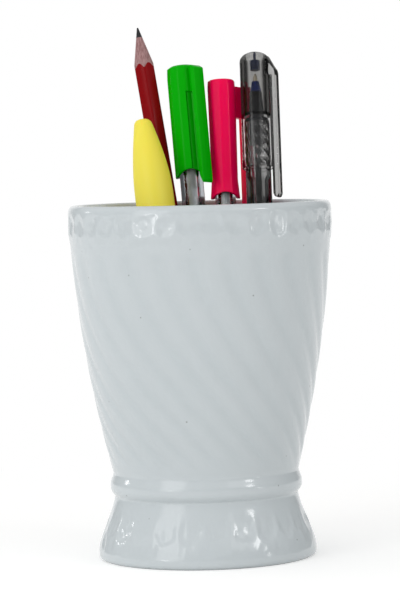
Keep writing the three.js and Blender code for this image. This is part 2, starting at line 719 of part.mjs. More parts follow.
function highlighterPieces(pen) {
  const reservoirFrom = nibTop(pen) + touchGap;
  const yellow = 0xeee05a;
  return {
    cap: [piece('highlighter_cap', makeHighlighterCap(pen), material(yellow, 0.3))],
    body: [
      piece('highlighter_barrel', makeHighlighterBarrel(pen), material(yellow, 0.35)),
      piece('highlighter_section', makeSection(pen), material(0x2b2b2b, 0.4)),
      piece('highlighter_nib', makeNib(pen), material(0xe8f03c, 0.9)),
      piece('highlighter_reservoir', makeRod(pen.reservoirRadius, reservoirFrom,
        reservoirFrom + pen.reservoirLength, sides.small), material(0xe4ea4e, 0.9)),
    ],
  };
}

// Standing the tools in the cup

const polar = (degrees, radius) => new THREE.Vector2(Math.cos(radians(degrees)), Math.sin(radians(degrees)))
  .multiplyScalar(radius);
const beside = (spot, degrees, apart) => polar(degrees, apart).add(spot);

const rimInside = cup.rimRadius - cup.wall;
const floorRadius = cupRadius(cup.floorTop + cup.floorRound) - cup.wall - cup.floorRound;
const pencilReach = pencil.acrossFlats / 2 / Math.cos(Math.PI / 6);
const capReach = (pen) => capRadius(pen) + pen.capTopGrow;
const highlighterReach = highlighter.halfWidth + highlighter.capGrow;

const feet = {};
feet.pencil = polar(stand.pencilFootAngle, stand.pencilFootShare * floorRadius);
feet.green = beside(feet.pencil, stand.greenFootAngle,
  pencilReach + greenPen.barrelRadius + stand.greenFootGap);
feet.pink = beside(feet.green, stand.pinkFootAngle,
  greenPen.barrelRadius + pinkPen.barrelRadius + stand.pinkFootGap);
feet.gel = polar(stand.gelFootAngle, floorRadius + cup.floorRound - gelPen.barrelRadius - stand.gelFootGap);
feet.highlighter = beside(feet.green, stand.highlighterFootAngle,
  greenPen.barrelRadius + highlighterReach + stand.highlighterFootGap);

const rims = {};
rims.pencil = polar(stand.pencilRimAngle, rimInside - pencilReach - stand.leanGap);
rims.green = beside(rims.pencil, stand.greenRimAngle, pencilReach + capReach(greenPen) + stand.greenRimGap);
rims.pink = beside(rims.green, stand.pinkRimAngle,
  capReach(greenPen) + capReach(pinkPen) + stand.pinkRimGap);
rims.gel = beside(rims.pink, stand.gelRimAngle, capReach(pinkPen) + capRadius(gelPen) + stand.gelRimGap);
rims.highlighter = beside(rims.pencil, stand.highlighterRimAngle,
  pencilReach + highlighter.halfWidth + stand.highlighterRimGap);

// The clip of the pink pen points past the gel pen, which its cap stands close to
const atHeight = (name, height) => new THREE.Vector2()
  .lerpVectors(feet[name], rims[name], (height - cup.floorTop) / (cup.height - cup.floorTop));
const pinkTop = cup.floorTop + pinkPen.length;
const toGelPen = atHeight('gel', pinkTop).sub(atHeight('pink', pinkTop));
const pinkClipAngle = THREE.MathUtils.radToDeg(Math.atan2(toGelPen.y, toGelPen.x)) + pinkPen.clipPastGelPen;

// A group whose Z runs along a tool from its spot on the floor through its spot at the rim, and
// whose X faces the given way round. The tool's flat end, with its rounded edge, clears the floor.
function standing(name, xDegrees, flatRadius, edgeRound, meshes) {
  const foot = feet[name];
  const rim = rims[name];
  const up = new THREE.Vector3(rim.x - foot.x, rim.y - foot.y, cup.height - cup.floorTop).normalize();
  const facing = new THREE.Vector3(Math.cos(radians(xDegrees)), Math.sin(radians(xDegrees)), 0);
  const side = new THREE.Vector3().crossVectors(up, facing).normalize();
  const front = new THREE.Vector3().crossVectors(side, up);
  const tilt = Math.acos(up.z);
  const lift = touchGap + flatRadius * Math.sin(tilt) + edgeRound * (1 - Math.cos(tilt));
  const group = new THREE.Group();
  group.quaternion.setFromRotationMatrix(new THREE.Matrix4().makeBasis(front, side, up));
  group.position.set(foot.x, foot.y, cup.floorTop).addScaledVector(up, lift / up.z);
  for (const mesh of meshes) group.add(mesh);
  return group;
}

const holder = new THREE.Group();
holder.add(piece('cup', makeCup(), glaze));
holder.add(standing('pencil', 0, pencilReach, 0, [
  piece('pencil_casing', makePencilCasing(), material(0x8b0b12, 0.3)),
  piece('pencil_lead', makePencilLead(), material(0x2b2c2f, 0.5)),
]));
const tailFlat = (pen) => pen.barrelRadius - pen.tailRound;
holder.add(standing('green', greenPen.clipAngle, tailFlat(greenPen), greenPen.tailRound,
  penPieces('green_pen', greenPen, greenPen.clipAngle, 0x0aa012, 0x2a2f33)));
holder.add(standing('pink', pinkClipAngle, tailFlat(pinkPen), pinkPen.tailRound,
  penPieces('pink_pen', pinkPen, pinkClipAngle, 0xf2096a, 0x2a2f33)));
holder.add(standing('gel', gelPen.clipAngle, tailFlat(gelPen), gelPen.tailRound,
  gelPieces('gel_pen', gelPen)));
const marker = highlighterPieces(highlighter);
holder.add(standing('highlighter', 0, highlighterReach - highlighter.capRound, highlighter.capRound,
  [...marker.cap, ...marker.body]));

export default holder;
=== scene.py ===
# A glazed stoneware pen cup with twisted flutes, and the pencil, highlighter and capped pens that
# stand in it. Sizes are in millimetres up to the point where a piece is settled in its place.
import json
import math

import bmesh
import bpy
from mathutils import Matrix, Vector


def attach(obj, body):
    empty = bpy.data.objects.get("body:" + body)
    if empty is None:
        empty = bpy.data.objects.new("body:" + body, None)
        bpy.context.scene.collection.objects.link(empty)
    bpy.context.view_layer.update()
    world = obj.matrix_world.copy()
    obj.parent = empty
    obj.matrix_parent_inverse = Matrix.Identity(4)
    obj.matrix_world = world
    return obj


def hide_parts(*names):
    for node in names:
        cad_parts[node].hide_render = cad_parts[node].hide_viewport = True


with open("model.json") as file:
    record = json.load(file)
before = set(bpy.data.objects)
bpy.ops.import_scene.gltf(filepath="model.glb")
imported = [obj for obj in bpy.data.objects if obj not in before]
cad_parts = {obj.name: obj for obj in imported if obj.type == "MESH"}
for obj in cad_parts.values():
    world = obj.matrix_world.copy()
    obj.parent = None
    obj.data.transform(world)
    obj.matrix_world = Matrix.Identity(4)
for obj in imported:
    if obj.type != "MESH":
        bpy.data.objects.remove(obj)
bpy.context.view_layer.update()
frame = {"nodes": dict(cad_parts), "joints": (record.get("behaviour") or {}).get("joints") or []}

mm = 0.001
tau = 2 * math.pi


def mix(low, high, share):
    return low + (high - low) * share


def smooth(value, low, high):
    share = min(1, max(0, (value - low) / (high - low)))
    return share * share * (3 - 2 * share)


def hexColour(code):
    channels = [int(code[k:k + 2], 16) / 255 for k in (0, 2, 4)]
    return (*[c / 12.92 if c <= 0.04045 else ((c + 0.055) / 1.055) ** 2.4 for c in channels], 1)


def setInputs(node, inputs):
    # A node given as a value stands for its first output
    for name, value in inputs.items():
        if isinstance(value, bpy.types.Node):
            value = value.outputs[0]
        if isinstance(value, bpy.types.NodeSocket):
            node.id_data.links.new(value, node.inputs[name])
        else:
            node.inputs[name].default_value = value


def addNode(tree, kind, settings={}, inputs={}):
    node = tree.nodes.new(kind)
    for name, value in settings.items():
        setattr(node, name, value)
    setInputs(node, inputs)
    return node


def formulaIn(tree):
    # A function that adds one step of a formula to the tree
    def work(operation, *values):
        return addNode(tree, "ShaderNodeMath", {"operation": operation}, dict(enumerate(values)))
    return work


# Materials

def newMaterial(name, inputs):
    material = bpy.data.materials.new(name)
    material.use_nodes = True
    shader = material.node_tree.nodes["Principled BSDF"]
    setInputs(shader, inputs)
    return material, shader


def addGrain(shader, size, strength, depth, stretch=None):
    # A fine relief whose lumps are size mm across and depth mm high. A stretched one keeps to the
    # piece's own direction.
    tree = shader.id_data
    if stretch:
        place = addNode(tree, "ShaderNodeAttribute", {"attribute_name": "ownPlace"}).outputs["Vector"]
        perLump = 1 / size
    else:
        place = addNode(tree, "ShaderNodeTexCoord").outputs["Object"]
        perLump = 1 / (size * mm)
    stretched = addNode(tree, "ShaderNodeMapping", {}, {"Vector": place, "Scale": stretch or (1, 1, 1)})
    noise = addNode(tree, "ShaderNodeTexNoise", {}, {"Vector": stretched, "Scale": perLump, "Detail": 3.0})
    bump = addNode(tree, "ShaderNodeBump", {}, {
        "Strength": strength, "Distance": depth * mm, "Height": noise})
    setInputs(shader, {"Normal": bump})
    return noise


def shadeBetween(shader, share, low, high):
    # Colours the finish between two shades
    shade = addNode(shader.id_data, "ShaderNodeMix", {"data_type": "RGBA"}, {
        "Factor": share, 6: hexColour(low), 7: hexColour(high)}).outputs[2]
    setInputs(shader, {"Base Color": shade})
    return shade


glazeLook = {
    "thin": "CDD4D7", "thick": "C8D0D3", "poolShare": 0.65, "cloudShare": 0.35, "cloudSize": 16.0,
    "cloudLow": 0.35, "cloudHigh": 0.65,
    "speck": "7E837F", "speckShare": 0.6, "speckSize": 7.0, "speckInner": 0.03, "speckOuter": 0.055,
    "roughness": 0.14, "peelSize": 5.0, "peelStrength": 0.35, "peelDepth": 0.05,
}


def stonewareGlaze():
    # Slip-cast stoneware, dipped in a grey-white glaze and fired glossy. The glaze runs thin and pale
    # over every back and pools darker in every groove, with soft clouds and a few iron specks in it.
    look = glazeLook
    material, shader = newMaterial("dippedStonewareGlaze", {"Roughness": look["roughness"], "IOR": 1.5})
    tree = material.node_tree
    place = addNode(tree, "ShaderNodeTexCoord").outputs["Object"]
    pool = addNode(tree, "ShaderNodeAttribute", {"attribute_name": "glazePool"}).outputs["Fac"]
    cloud = addNode(tree, "ShaderNodeTexNoise", {}, {
        "Vector": place, "Scale": 1 / (look["cloudSize"] * mm), "Detail": 4.0, "Roughness": 0.6})
    cloudy = addNode(tree, "ShaderNodeMapRange", {}, {
        "Value": cloud, "From Min": look["cloudLow"], "From Max": look["cloudHigh"],
        "To Max": look["cloudShare"]})
    thickness = addNode(tree, "ShaderNodeMath", {"operation": "MULTIPLY_ADD", "use_clamp": True}, {
        0: pool, 1: look["poolShare"], 2: cloudy})
    tint = shadeBetween(shader, thickness, look["thin"], look["thick"])
    specks = addNode(tree, "ShaderNodeTexVoronoi", {}, {
        "Vector": place, "Scale": 1 / (look["speckSize"] * mm)})
    speckMask = addNode(tree, "ShaderNodeMapRange", {}, {
        "Value": specks, "From Min": look["speckInner"], "From Max": look["speckOuter"],
        "To Min": look["speckShare"], "To Max": 0.0})
    spotted = addNode(tree, "ShaderNodeMix", {"data_type": "RGBA"}, {
        "Factor": speckMask, 6: tint, 7: hexColour(look["speck"])})
    setInputs(shader, {"Base Color": spotted.outputs[2]})
    addGrain(shader, look["peelSize"], look["peelStrength"], look["peelDepth"])
    return material


def pencilLacquer():
    # Cedar dipped in coats of red nitrocellulose lacquer: deep, glossy, and slightly wavy along the grain
    material, shader = newMaterial("dippedRedLacquer", {
        "Base Color": hexColour("8E0D14"), "Roughness": 0.22, "IOR": 1.5, "Specular IOR Level": 0.08})
    waves = addGrain(shader, 1.2, 0.25, 0.03, (1, 1, 0.06))
    shadeBetween(shader, waves, "7E060C", "920B12")
    return material


def sharpenedCedar():
    # Incense cedar cut by a sharpener's blade: matt, pinkish, with thin grain lines along the pencil
    material, shader = newMaterial("sharpenedCedar", {"Roughness": 0.75, "IOR": 1.45})
    fibres = addGrain(shader, 0.5, 0.5, 0.08, (1, 1, 0.08))
    lines = addNode(material.node_tree, "ShaderNodeMapRange", {}, {
        "Value": fibres, "From Min": 0.35, "From Max": 0.65})
    shadeBetween(shader, lines, "8B6463", "B38B8B")
    return material


def burnishedGraphite():
    # Graphite fired with clay: near black, with a soft metallic sheen where it was rubbed
    material, shader = newMaterial("burnishedGraphite", {
        "Base Color": hexColour("2A2B2E"), "Metallic": 0.35, "Roughness": 0.42})
    addGrain(shader, 0.4, 0.3, 0.03)
    return material


def mouldedPlastic(name, colour, roughness, subsurface=0.0, shine=0.3):
    # Polypropylene or ABS from a polished mould: even colour, satin gloss, faint sink waves
    material, shader = newMaterial(name, {
        "Base Color": hexColour(colour), "Roughness": roughness, "IOR": 1.49, "Specular IOR Level": shine,
        "Subsurface Weight": subsurface, "Subsurface Scale": 1.5 * mm})
    waves = addGrain(shader, 6.0, 0.3, 0.02)
    polish = addNode(material.node_tree, "ShaderNodeMapRange", {}, {
        "Value": waves, "From Min": 0.3, "From Max": 0.7,
        "To Min": roughness * 0.85, "To Max": roughness * 1.2})
    setInputs(shader, {"Roughness": polish})
    return material


def clearPlastic(name, tint, density, roughness, mirrorShare):
    # Injection-moulded polystyrene or soft rubber, clear or smoked: it refracts, and its walls darken
    # where the eye looks along them. Light that passes through falls on what is inside. A plain
    # refraction mixed in takes down the mirror image of the bright room.
    material, shader = newMaterial(name, {
        "Base Color": (1, 1, 1, 1), "Roughness": roughness, "IOR": 1.5, "Transmission Weight": 1.0})
    tree = material.node_tree
    bending = addNode(tree, "ShaderNodeBsdfRefraction", {}, {"Roughness": roughness, "IOR": 1.5})
    walls = addNode(tree, "ShaderNodeMixShader", {}, {0: mirrorShare, 1: bending, 2: shader})
    shadowRay = addNode(tree, "ShaderNodeLightPath").outputs["Is Shadow Ray"]
    passing = addNode(tree, "ShaderNodeBsdfTransparent")
    lit = addNode(tree, "ShaderNodeMixShader", {}, {0: shadowRay, 1: walls, 2: passing})
    dye = addNode(tree, "ShaderNodeVolumeAbsorption", {}, {"Color": hexColour(tint), "Density": density})
    setInputs(tree.nodes["Material Output"], {"Surface": lit, "Volume": dye})
    addGrain(shader, 5.0, 0.2, 0.02)
    return material


def milkyTube(name, tint, cover):
    # Thin polyethylene, so thin that it hardly bends the light: a milky film that shows the ink inside
    material, shader = newMaterial(name, {
        "Base Color": hexColour(tint), "Roughness": 0.3, "IOR": 1.51, "Alpha": cover})
    film = addGrain(shader, 3.0, 0.2, 0.02)
    cloud = addNode(material.node_tree, "ShaderNodeMapRange", {}, {
        "Value": film, "To Min": cover * 0.7, "To Max": cover * 1.3})
    setInputs(shader, {"Alpha": cloud})
    return material


def drawnMetal(name, colour, roughness):
    # Nickel silver or brass turned on a lathe: bright, with fine rings round it
    material, shader = newMaterial(name, {
        "Base Color": hexColour(colour), "Metallic": 1.0, "Roughness": roughness})
    addGrain(shader, 0.6, 0.25, 0.01, (0.05, 0.05, 1))
    return material


def softRubber(name, colour, roughness):
    # Moulded thermoplastic rubber: matt, and a little bloomed
    material, shader = newMaterial(name, {
        "Base Color": hexColour(colour), "Roughness": roughness, "IOR": 1.5, "Sheen Weight": 0.05})
    addGrain(shader, 0.35, 0.4, 0.03)
    return material


def pressedFelt(name, colour):
    # Bonded polyester fibre soaked with ink: matt, with fibres running along it
    material, shader = newMaterial(name, {"Roughness": 0.9, "Sheen Weight": 0.3})
    fibres = addGrain(shader, 0.3, 0.6, 0.08, (1, 1, 0.1))
    shadeBetween(shader, fibres, colour, "F4F27A")
    return material


# A finish for each slot of the record. Cedar is the second one on the pencil's casing, and the gel
# pen has a clearer refill tube than the others.
finishes = {
    "cup_glaze": stonewareGlaze(),
    "pencil_lacquer": pencilLacquer(),
    "cedar": sharpenedCedar(),
    "graphite": burnishedGraphite(),
    "green_plastic": mouldedPlastic("greenPolypropylene", "02AE02", 0.22, shine=0.08),
    "pink_plastic": mouldedPlastic("pinkPolypropylene", "FF0354", 0.22, subsurface=0.2, shine=0.1),
    "yellow_plastic": mouldedPlastic("yellowPolypropylene", "FFED4A", 0.5, subsurface=0.1, shine=0.6),
    "clear_plastic": clearPlastic("clearPolystyrene", "AEB6BC", 200.0, 0.03, 0.5),
    "smoke_plastic": clearPlastic("smokedPolystyrene", "6A6862", 330.0, 0.03, 0.5),
    "smoke_barrel": clearPlastic("smokedBarrelPolystyrene", "70706E", 420.0, 0.04, 0.4),
    "dark_trim": mouldedPlastic("darkGreyAbs", "2A2F33", 0.3),
    "gel_nose": mouldedPlastic("blackBlueAbs", "0A0D14", 0.28, shine=0.1),
    "gel_blue": mouldedPlastic("blueAbs", "0C2C80", 0.3, shine=0.1),
    "black_plastic": mouldedPlastic("blackAbs", "262626", 0.4),
    "gel_plug": mouldedPlastic("blackPlugAbs", "2A2B2D", 0.3),
    "refill_tube": milkyTube("milkyPolyethyleneTube", "F8FCFC", 0.65),
    "clearRefill": milkyTube("clearPolypropyleneTube", "C8CCCC", 0.08),
    "green_ink": mouldedPlastic("greenInkPaste", "0E2A33", 0.3),
    "pink_ink": mouldedPlastic("pinkInkPaste", "80747C", 0.3),
    "gel_ink": mouldedPlastic("darkBlueGel", "06070A", 0.3, shine=0.1),
    "point_brass": drawnMetal("turnedBrass", "B9A36A", 0.25),
    "point_steel": drawnMetal("turnedNickelSilver", "FFF2DA", 0.5),
    "seal_rubber": softRubber("navySealRubber", "102450", 0.55),
    "grip_rubber": clearPlastic("smokedSoftRubber", "6A6862", 420.0, 0.1, 0.4),
    "nib_felt": pressedFelt("pressedFeltNib", "E6EE36"),
    "wick_felt": pressedFelt("bondedFibreWick", "E4EA4E"),
}
print("materials made:", len(finishes))


# Making and settling pieces

def skin(rings, startPole=None, endPole=None):
    # Quads between rings of points. Without poles the last ring joins on to the first.
    count = len(rings[0])
    points = [point for ring in rings for point in ring]
    spans = [(row, row + 1) for row in range(len(rings) - 1)]
    if startPole is None:
        spans.append((len(rings) - 1, 0))
    faces = []
    for low, high in spans:
        for j in range(count):
            k = (j + 1) % count
            faces.append((low * count + j, low * count + k, high * count + k, high * count + j))
    if startPole is not None:
        first, last = len(points), len(points) + 1
        top = (len(rings) - 1) * count
        points += [startPole, endPole]
        for j in range(count):
            k = (j + 1) % count
            faces.append((first, k, j))
            faces.append((top + j, top + k, last))
    mesh = bpy.data.meshes.new("skin")
    mesh.from_pydata(points, [], faces)
    return mesh


def eased(outline, radius):
    # Rounds each corner of an outline of (radius, height) pairs
    closed = outline[0] == outline[-1]
    points = [Vector(p) for p in (outline[:-1] if closed else outline)]
    flatEnough, mostOfEdge, steps = math.radians(20), 0.45, 3
    result = []
    for i, point in enumerate(points):
        back = points[i - 1] - point
        ahead = points[(i + 1) % len(points)] - point
        isEnd = not closed and i in (0, len(points) - 1)
        if isEnd or math.pi - back.angle(ahead, math.pi) < flatEnough:
            result.append(point)
            continue
        cut = min(radius, back.length * mostOfEdge, ahead.length * mostOfEdge)
        start = point + back.normalized() * cut
        end = point + ahead.normalized() * cut
        for step in range(steps + 1):
            t = step / steps
            result.append(start * (1 - t) ** 2 + point * (2 * t * (1 - t)) + end * t ** 2)
    if closed:
        result.append(result[0].copy())
    return [(p.x, p.y) for p in result]


def ringAt(radius, height, count):
    angles = [tau * j / count for j in range(count)]
    return [(radius * math.cos(angle), radius * math.sin(angle), height) for angle in angles]


def turned(outline, count=48, ease=0.15):
    # Turns an outline of (radius, height) pairs round Z. The solid lies on the outline's left.
    outline = eased(outline, ease)
    if outline[0][0] == 0:
        rings = [ringAt(r, h, count) for r, h in outline[1:-1]]
        return skin(rings, (0, 0, outline[0][1]), (0, 0, outline[-1][1]))
    return skin([ringAt(r, h, count) for r, h in outline[:-1]])


def newObject(name, data):
    thing = bpy.data.objects.new(name, data)
    bpy.context.scene.collection.objects.link(thing)
    return thing


def evaluatedMesh(thing):
    graph = bpy.context.evaluated_depsgraph_get()
    return bpy.data.meshes.new_from_object(thing.evaluated_get(graph))


def joined(*meshes):
    # The union of closed meshes
    holders = [newObject("holder", mesh) for mesh in meshes]
    for other in holders[1:]:
        union = holders[0].modifiers.new("union", "BOOLEAN")
        union.operation, union.solver, union.object = "UNION", "EXACT", other
    mesh = evaluatedMesh(holders[0])
    for holder in holders:
        bpy.data.objects.remove(holder)
    return mesh


def standingPlace(joint, node, facing):
    # The frame of a standing tool: Z runs up it from the middle of its lowest face, as the joint's
    # axis says, and X faces the given way round
    up = Vector(next(j["axis"] for j in frame["joints"] if j["name"] == joint)).normalized()
    spots = {tuple(round(c, 7) for c in v.co) for v in frame["nodes"][node].data.vertices}
    middle = sum((Vector(s) for s in spots), Vector()) / len(spots)
    lowest = min(Vector(s).dot(up) for s in spots)
    foot = middle + up * (lowest - middle.dot(up))
    angle = math.radians(facing)
    side = up.cross(Vector((math.cos(angle), math.sin(angle), 0))).normalized()
    front = side.cross(up)
    turn = Matrix((front, side, up)).transposed().to_4x4()
    return Matrix.Translation(foot) @ turn @ Matrix.Scale(mm, 4)


def settle(name, mesh, place, body, slot, looks=None, sharpAngle=38):
    # Keeps each vertex's own place in mm for the materials, then moves the mesh to its place. The
    # piece greenPenCap stands in for the solid green_pen_cap, and so on.
    own = mesh.attributes.new("ownPlace", "FLOAT_VECTOR", "POINT")
    own.data.foreach_set("vector", [c for v in mesh.vertices for c in v.co])
    mesh.transform(place)
    mesh.name = name
    mesh.shade_smooth()
    mesh.set_sharp_from_angle(angle=math.radians(sharpAngle))
    for look in looks or [slot]:
        mesh.materials.append(finishes[look])
    piece = newObject(name, mesh)
    node = "".join("_" + c.lower() if c.isupper() else c for c in name)
    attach(piece, body)
    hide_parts(node)


def newTree(name, sizes):
    # A Geometry Nodes tree with a named input for each size, and those inputs inside it
    tree = bpy.data.node_groups.new(name, "GeometryNodeTree")
    sockets = {"Shape": "Geometry", "Finish": "Material"}
    for key, value in sizes.items():
        sockets[key] = "Int" if isinstance(value, int) else "Float"
    for key, kind in sockets.items():
        tree.interface.new_socket(key, in_out="INPUT", socket_type=f"NodeSocket{kind}")
    tree.interface.new_socket("Shape", in_out="OUTPUT", socket_type="NodeSocketGeometry")
    return tree, addNode(tree, "NodeGroupInput").outputs


def endTree(tree, shape, finish):
    real = addNode(tree, "GeometryNodeRealizeInstances", {}, {"Geometry": shape})
    dressed = addNode(tree, "GeometryNodeSetMaterial", {}, {"Geometry": real, "Material": finish})
    addNode(tree, "NodeGroupOutput", {}, {"Shape": dressed})
    return tree


def runTree(mesh, tree, values):
    # Runs the tree on the mesh as a modifier, with its inputs set by identifier, and returns the
    # plain mesh that comes out
    holder = newObject("holder", mesh)
    modifier = holder.modifiers.new(tree.name, "NODES")
    modifier.node_group = tree
    for item in tree.interface.items_tree:
        if item.in_out == "INPUT" and item.name in values:
            modifier[item.identifier] = values[item.name]
    result = evaluatedMesh(holder)
    holder.modifiers.remove(modifier)
    bpy.data.objects.remove(holder)
    return result


# The cup

cup = {
    "height": 124, "rimRadius": 46, "wall": 4, "lipRound": 2.4,
    "bandHeight": 14.6, "bandStep": 0.6, "bandSoftness": 5.5, "bodyBowShare": 0.58,
    "neckHeight": 30.2, "neckRadius": 32.5, "beadTop": 26.6, "beadHeight": 25, "beadRadius": 33.6,
    "creaseHeight": 22.2, "creaseRadius": 32.1, "flareHeight": 3.2, "footRadius": 38.2,
    "edgeFullness": 6, "edgeRound": 1.3, "ringWidth": 3.6, "ringEdge": 0.3,
    "floorTop": 30, "floorThickness": 4.5, "floorRound": 4,
    "fluteStart": 10.3, "fluteTwist": 78, "fluteTwistPower": 1.65,
    # Heights over which a relief fades: the flutes up from the neck and below the band's edge, the
    # ovals above that edge and below the lip, the channels above the flare and below their top
    "fluteFoot": (0.5, 9), "fluteTop": (-4.6, -0.8), "ovalFade": 2, "ovalLipFade": 1,
    "ovalFoot": 112.6, "ovalTop": 121.4, "channelFade": 2, "channelFoot": 8.2, "channelTop": 19,
    "channelRound": 4, "channelFull": 3,
}
cupRelief = {
    "Columns": 432, "Flutes": 24, "Flute Depth": 0.36 * mm, "Groove Sharpness": 1.7,
    "Ovals": 36, "Oval Depth": 0.32 * mm, "Oval Rim": 0.6,
    "Channels": 24, "Channel Depth": 0.42 * mm, "Channel Rim": 0.5,
    "Wobble": 0.6, "Wobble Size": 7 * mm, "Ripple": 0.05 * mm, "Ripple Size": 22 * mm,
    "Handwork": 0.34 * mm, "Handwork Size": 3.8 * mm,
}
bandBottom = cup["height"] - cup["bandHeight"]


def cupRadius(height):
    def sway(low, high, lowRadius, highRadius):
        share = (height - low) / (high - low)
        return mix(lowRadius, highRadius, (share + smooth(share, 0, 1)) / 2)

    bandRadius = cup["rimRadius"] - cup["bandStep"]
    if height <= cup["flareHeight"]:
        drop = (1 - height / cup["flareHeight"]) ** cup["edgeFullness"]
        return cup["footRadius"] - cup["edgeRound"] * drop
    if height <= cup["creaseHeight"]:
        return sway(cup["flareHeight"], cup["creaseHeight"], cup["footRadius"], cup["creaseRadius"])
    if height <= cup["beadHeight"]:
        rise = (height - cup["creaseHeight"]) / (cup["beadHeight"] - cup["creaseHeight"])
        return mix(cup["creaseRadius"], cup["beadRadius"], math.sin(math.pi / 2 * rise))
    if height <= cup["beadTop"]:
        return cup["beadRadius"]
    if height <= cup["neckHeight"]:
        return sway(cup["beadTop"], cup["neckHeight"], cup["beadRadius"], cup["neckRadius"])
    if height <= bandBottom:
        share = (height - cup["neckHeight"]) / (bandBottom - cup["neckHeight"])
        return mix(cup["neckRadius"], bandRadius, share + cup["bodyBowShare"] * share * (1 - share))
    return mix(bandRadius, cup["rimRadius"], smooth(height, bandBottom, bandBottom + cup["bandSoftness"]))


def fluteTurn(height):
    share = min(1, max(0, (bandBottom - height) / (bandBottom - cup["neckHeight"])))
    return math.radians(cup["fluteStart"] + cup["fluteTwist"] * share ** cup["fluteTwistPower"])


def cupRows():
    # One row for each ring of the cup: radius, height, turn, where the reliefs act, and how far up
    # an oval or a channel the ring lies
    rows = []
    ceiling = cup["floorTop"] - cup["floorThickness"]
    lipBottom = cup["height"] - cup["lipRound"]
    bowlFoot = cup["floorTop"] + cup["floorRound"]
    floorRound, flare = cup["floorRound"], cup["flareHeight"]

    def inner(height):
        return cupRadius(min(height, cup["height"])) - cup["wall"]

    def plainRow(radius, height, turn):
        rows.append((radius, height, turn, (0, 0, 0), (0, 0)))

    def corner(middleRadius, middleHeight, fromAngle, toAngle, turn):
        for k in range(7):
            angle = math.radians(mix(fromAngle, toAngle, k / 6))
            across, up = floorRound * math.cos(angle), floorRound * math.sin(angle)
            plainRow(middleRadius + across, middleHeight + up, turn)

    def outsideRow(height):
        flute = smooth(height, *[cup["neckHeight"] + step for step in cup["fluteFoot"]]) * (
            1 - smooth(height, *[bandBottom + step for step in cup["fluteTop"]]))
        ovals = smooth(height, bandBottom, bandBottom + cup["ovalFade"]) * (
            1 - smooth(height, lipBottom - cup["ovalLipFade"], lipBottom))
        channels = smooth(height, flare, flare + cup["channelFade"]) * (
            1 - smooth(height, cup["channelFoot"] + cup["channelFull"], cup["channelTop"]))
        ovalMiddle = (cup["ovalFoot"] + cup["ovalTop"]) / 2
        ovalRise = (height - ovalMiddle) / (cup["ovalTop"] - cup["ovalFoot"]) * 2
        channelRise = min(0, (height - cup["channelFoot"]) / cup["channelRound"] - 1)
        acts, rises = (flute, ovals, channels), (ovalRise, channelRise)
        rows.append((cupRadius(height), height, fluteTurn(height), acts, rises))

    # underside of the floor, inside of the hollow foot, and the ring that the cup stands on
    turn = fluteTurn(0)
    for share in (0, 0.35, 0.7):
        plainRow(share * (inner(ceiling) - floorRound), ceiling, turn)
    corner(inner(ceiling) - floorRound, ceiling - floorRound, 90, 0, turn)
    hollowTop, hollowFoot = ceiling - 1.4 * floorRound, 3 * flare
    for k in range(5):
        height = mix(hollowTop, hollowFoot, k / 4)
        plainRow(inner(height), height, turn)
    ringOuter = cup["footRadius"] - cup["edgeRound"]
    ringInner = ringOuter - cup["ringWidth"]
    plainRow(mix(inner(hollowFoot), ringInner, 0.7), hollowFoot * 0.3, turn)
    plainRow(ringInner - 0.1, cup["ringEdge"], turn)
    plainRow(ringInner + 0.25, 0, turn)
    plainRow(ringOuter - 0.5, 0, turn)

    # outside
    low = 0.0
    for high, steps in ((flare, 7), (cup["creaseHeight"], 30), (cup["beadHeight"], 8),
                        (cup["neckHeight"], 12), (bandBottom, 60), (lipBottom, 24)):
        for k in range(steps):
            outsideRow(mix(low, high, k / steps))
        low = high
    outsideRow(lipBottom)

    # lip, inside and floor
    turn = fluteTurn(cup["height"])
    half = cup["wall"] / 2
    for k in range(1, 11):
        angle = math.pi * k / 10
        radius = cup["rimRadius"] - half + half * math.cos(angle)
        plainRow(radius, lipBottom + cup["lipRound"] * math.sin(angle), turn)
    for k in range(1, 17):
        height = mix(lipBottom, bowlFoot, k / 17)
        plainRow(inner(height), height, turn)
    corner(inner(bowlFoot) - floorRound, bowlFoot, 0, -90, turn)
    for share in (0.7, 0.35, 0):
        plainRow(share * (inner(bowlFoot) - floorRound), cup["floorTop"], turn)
    return rows


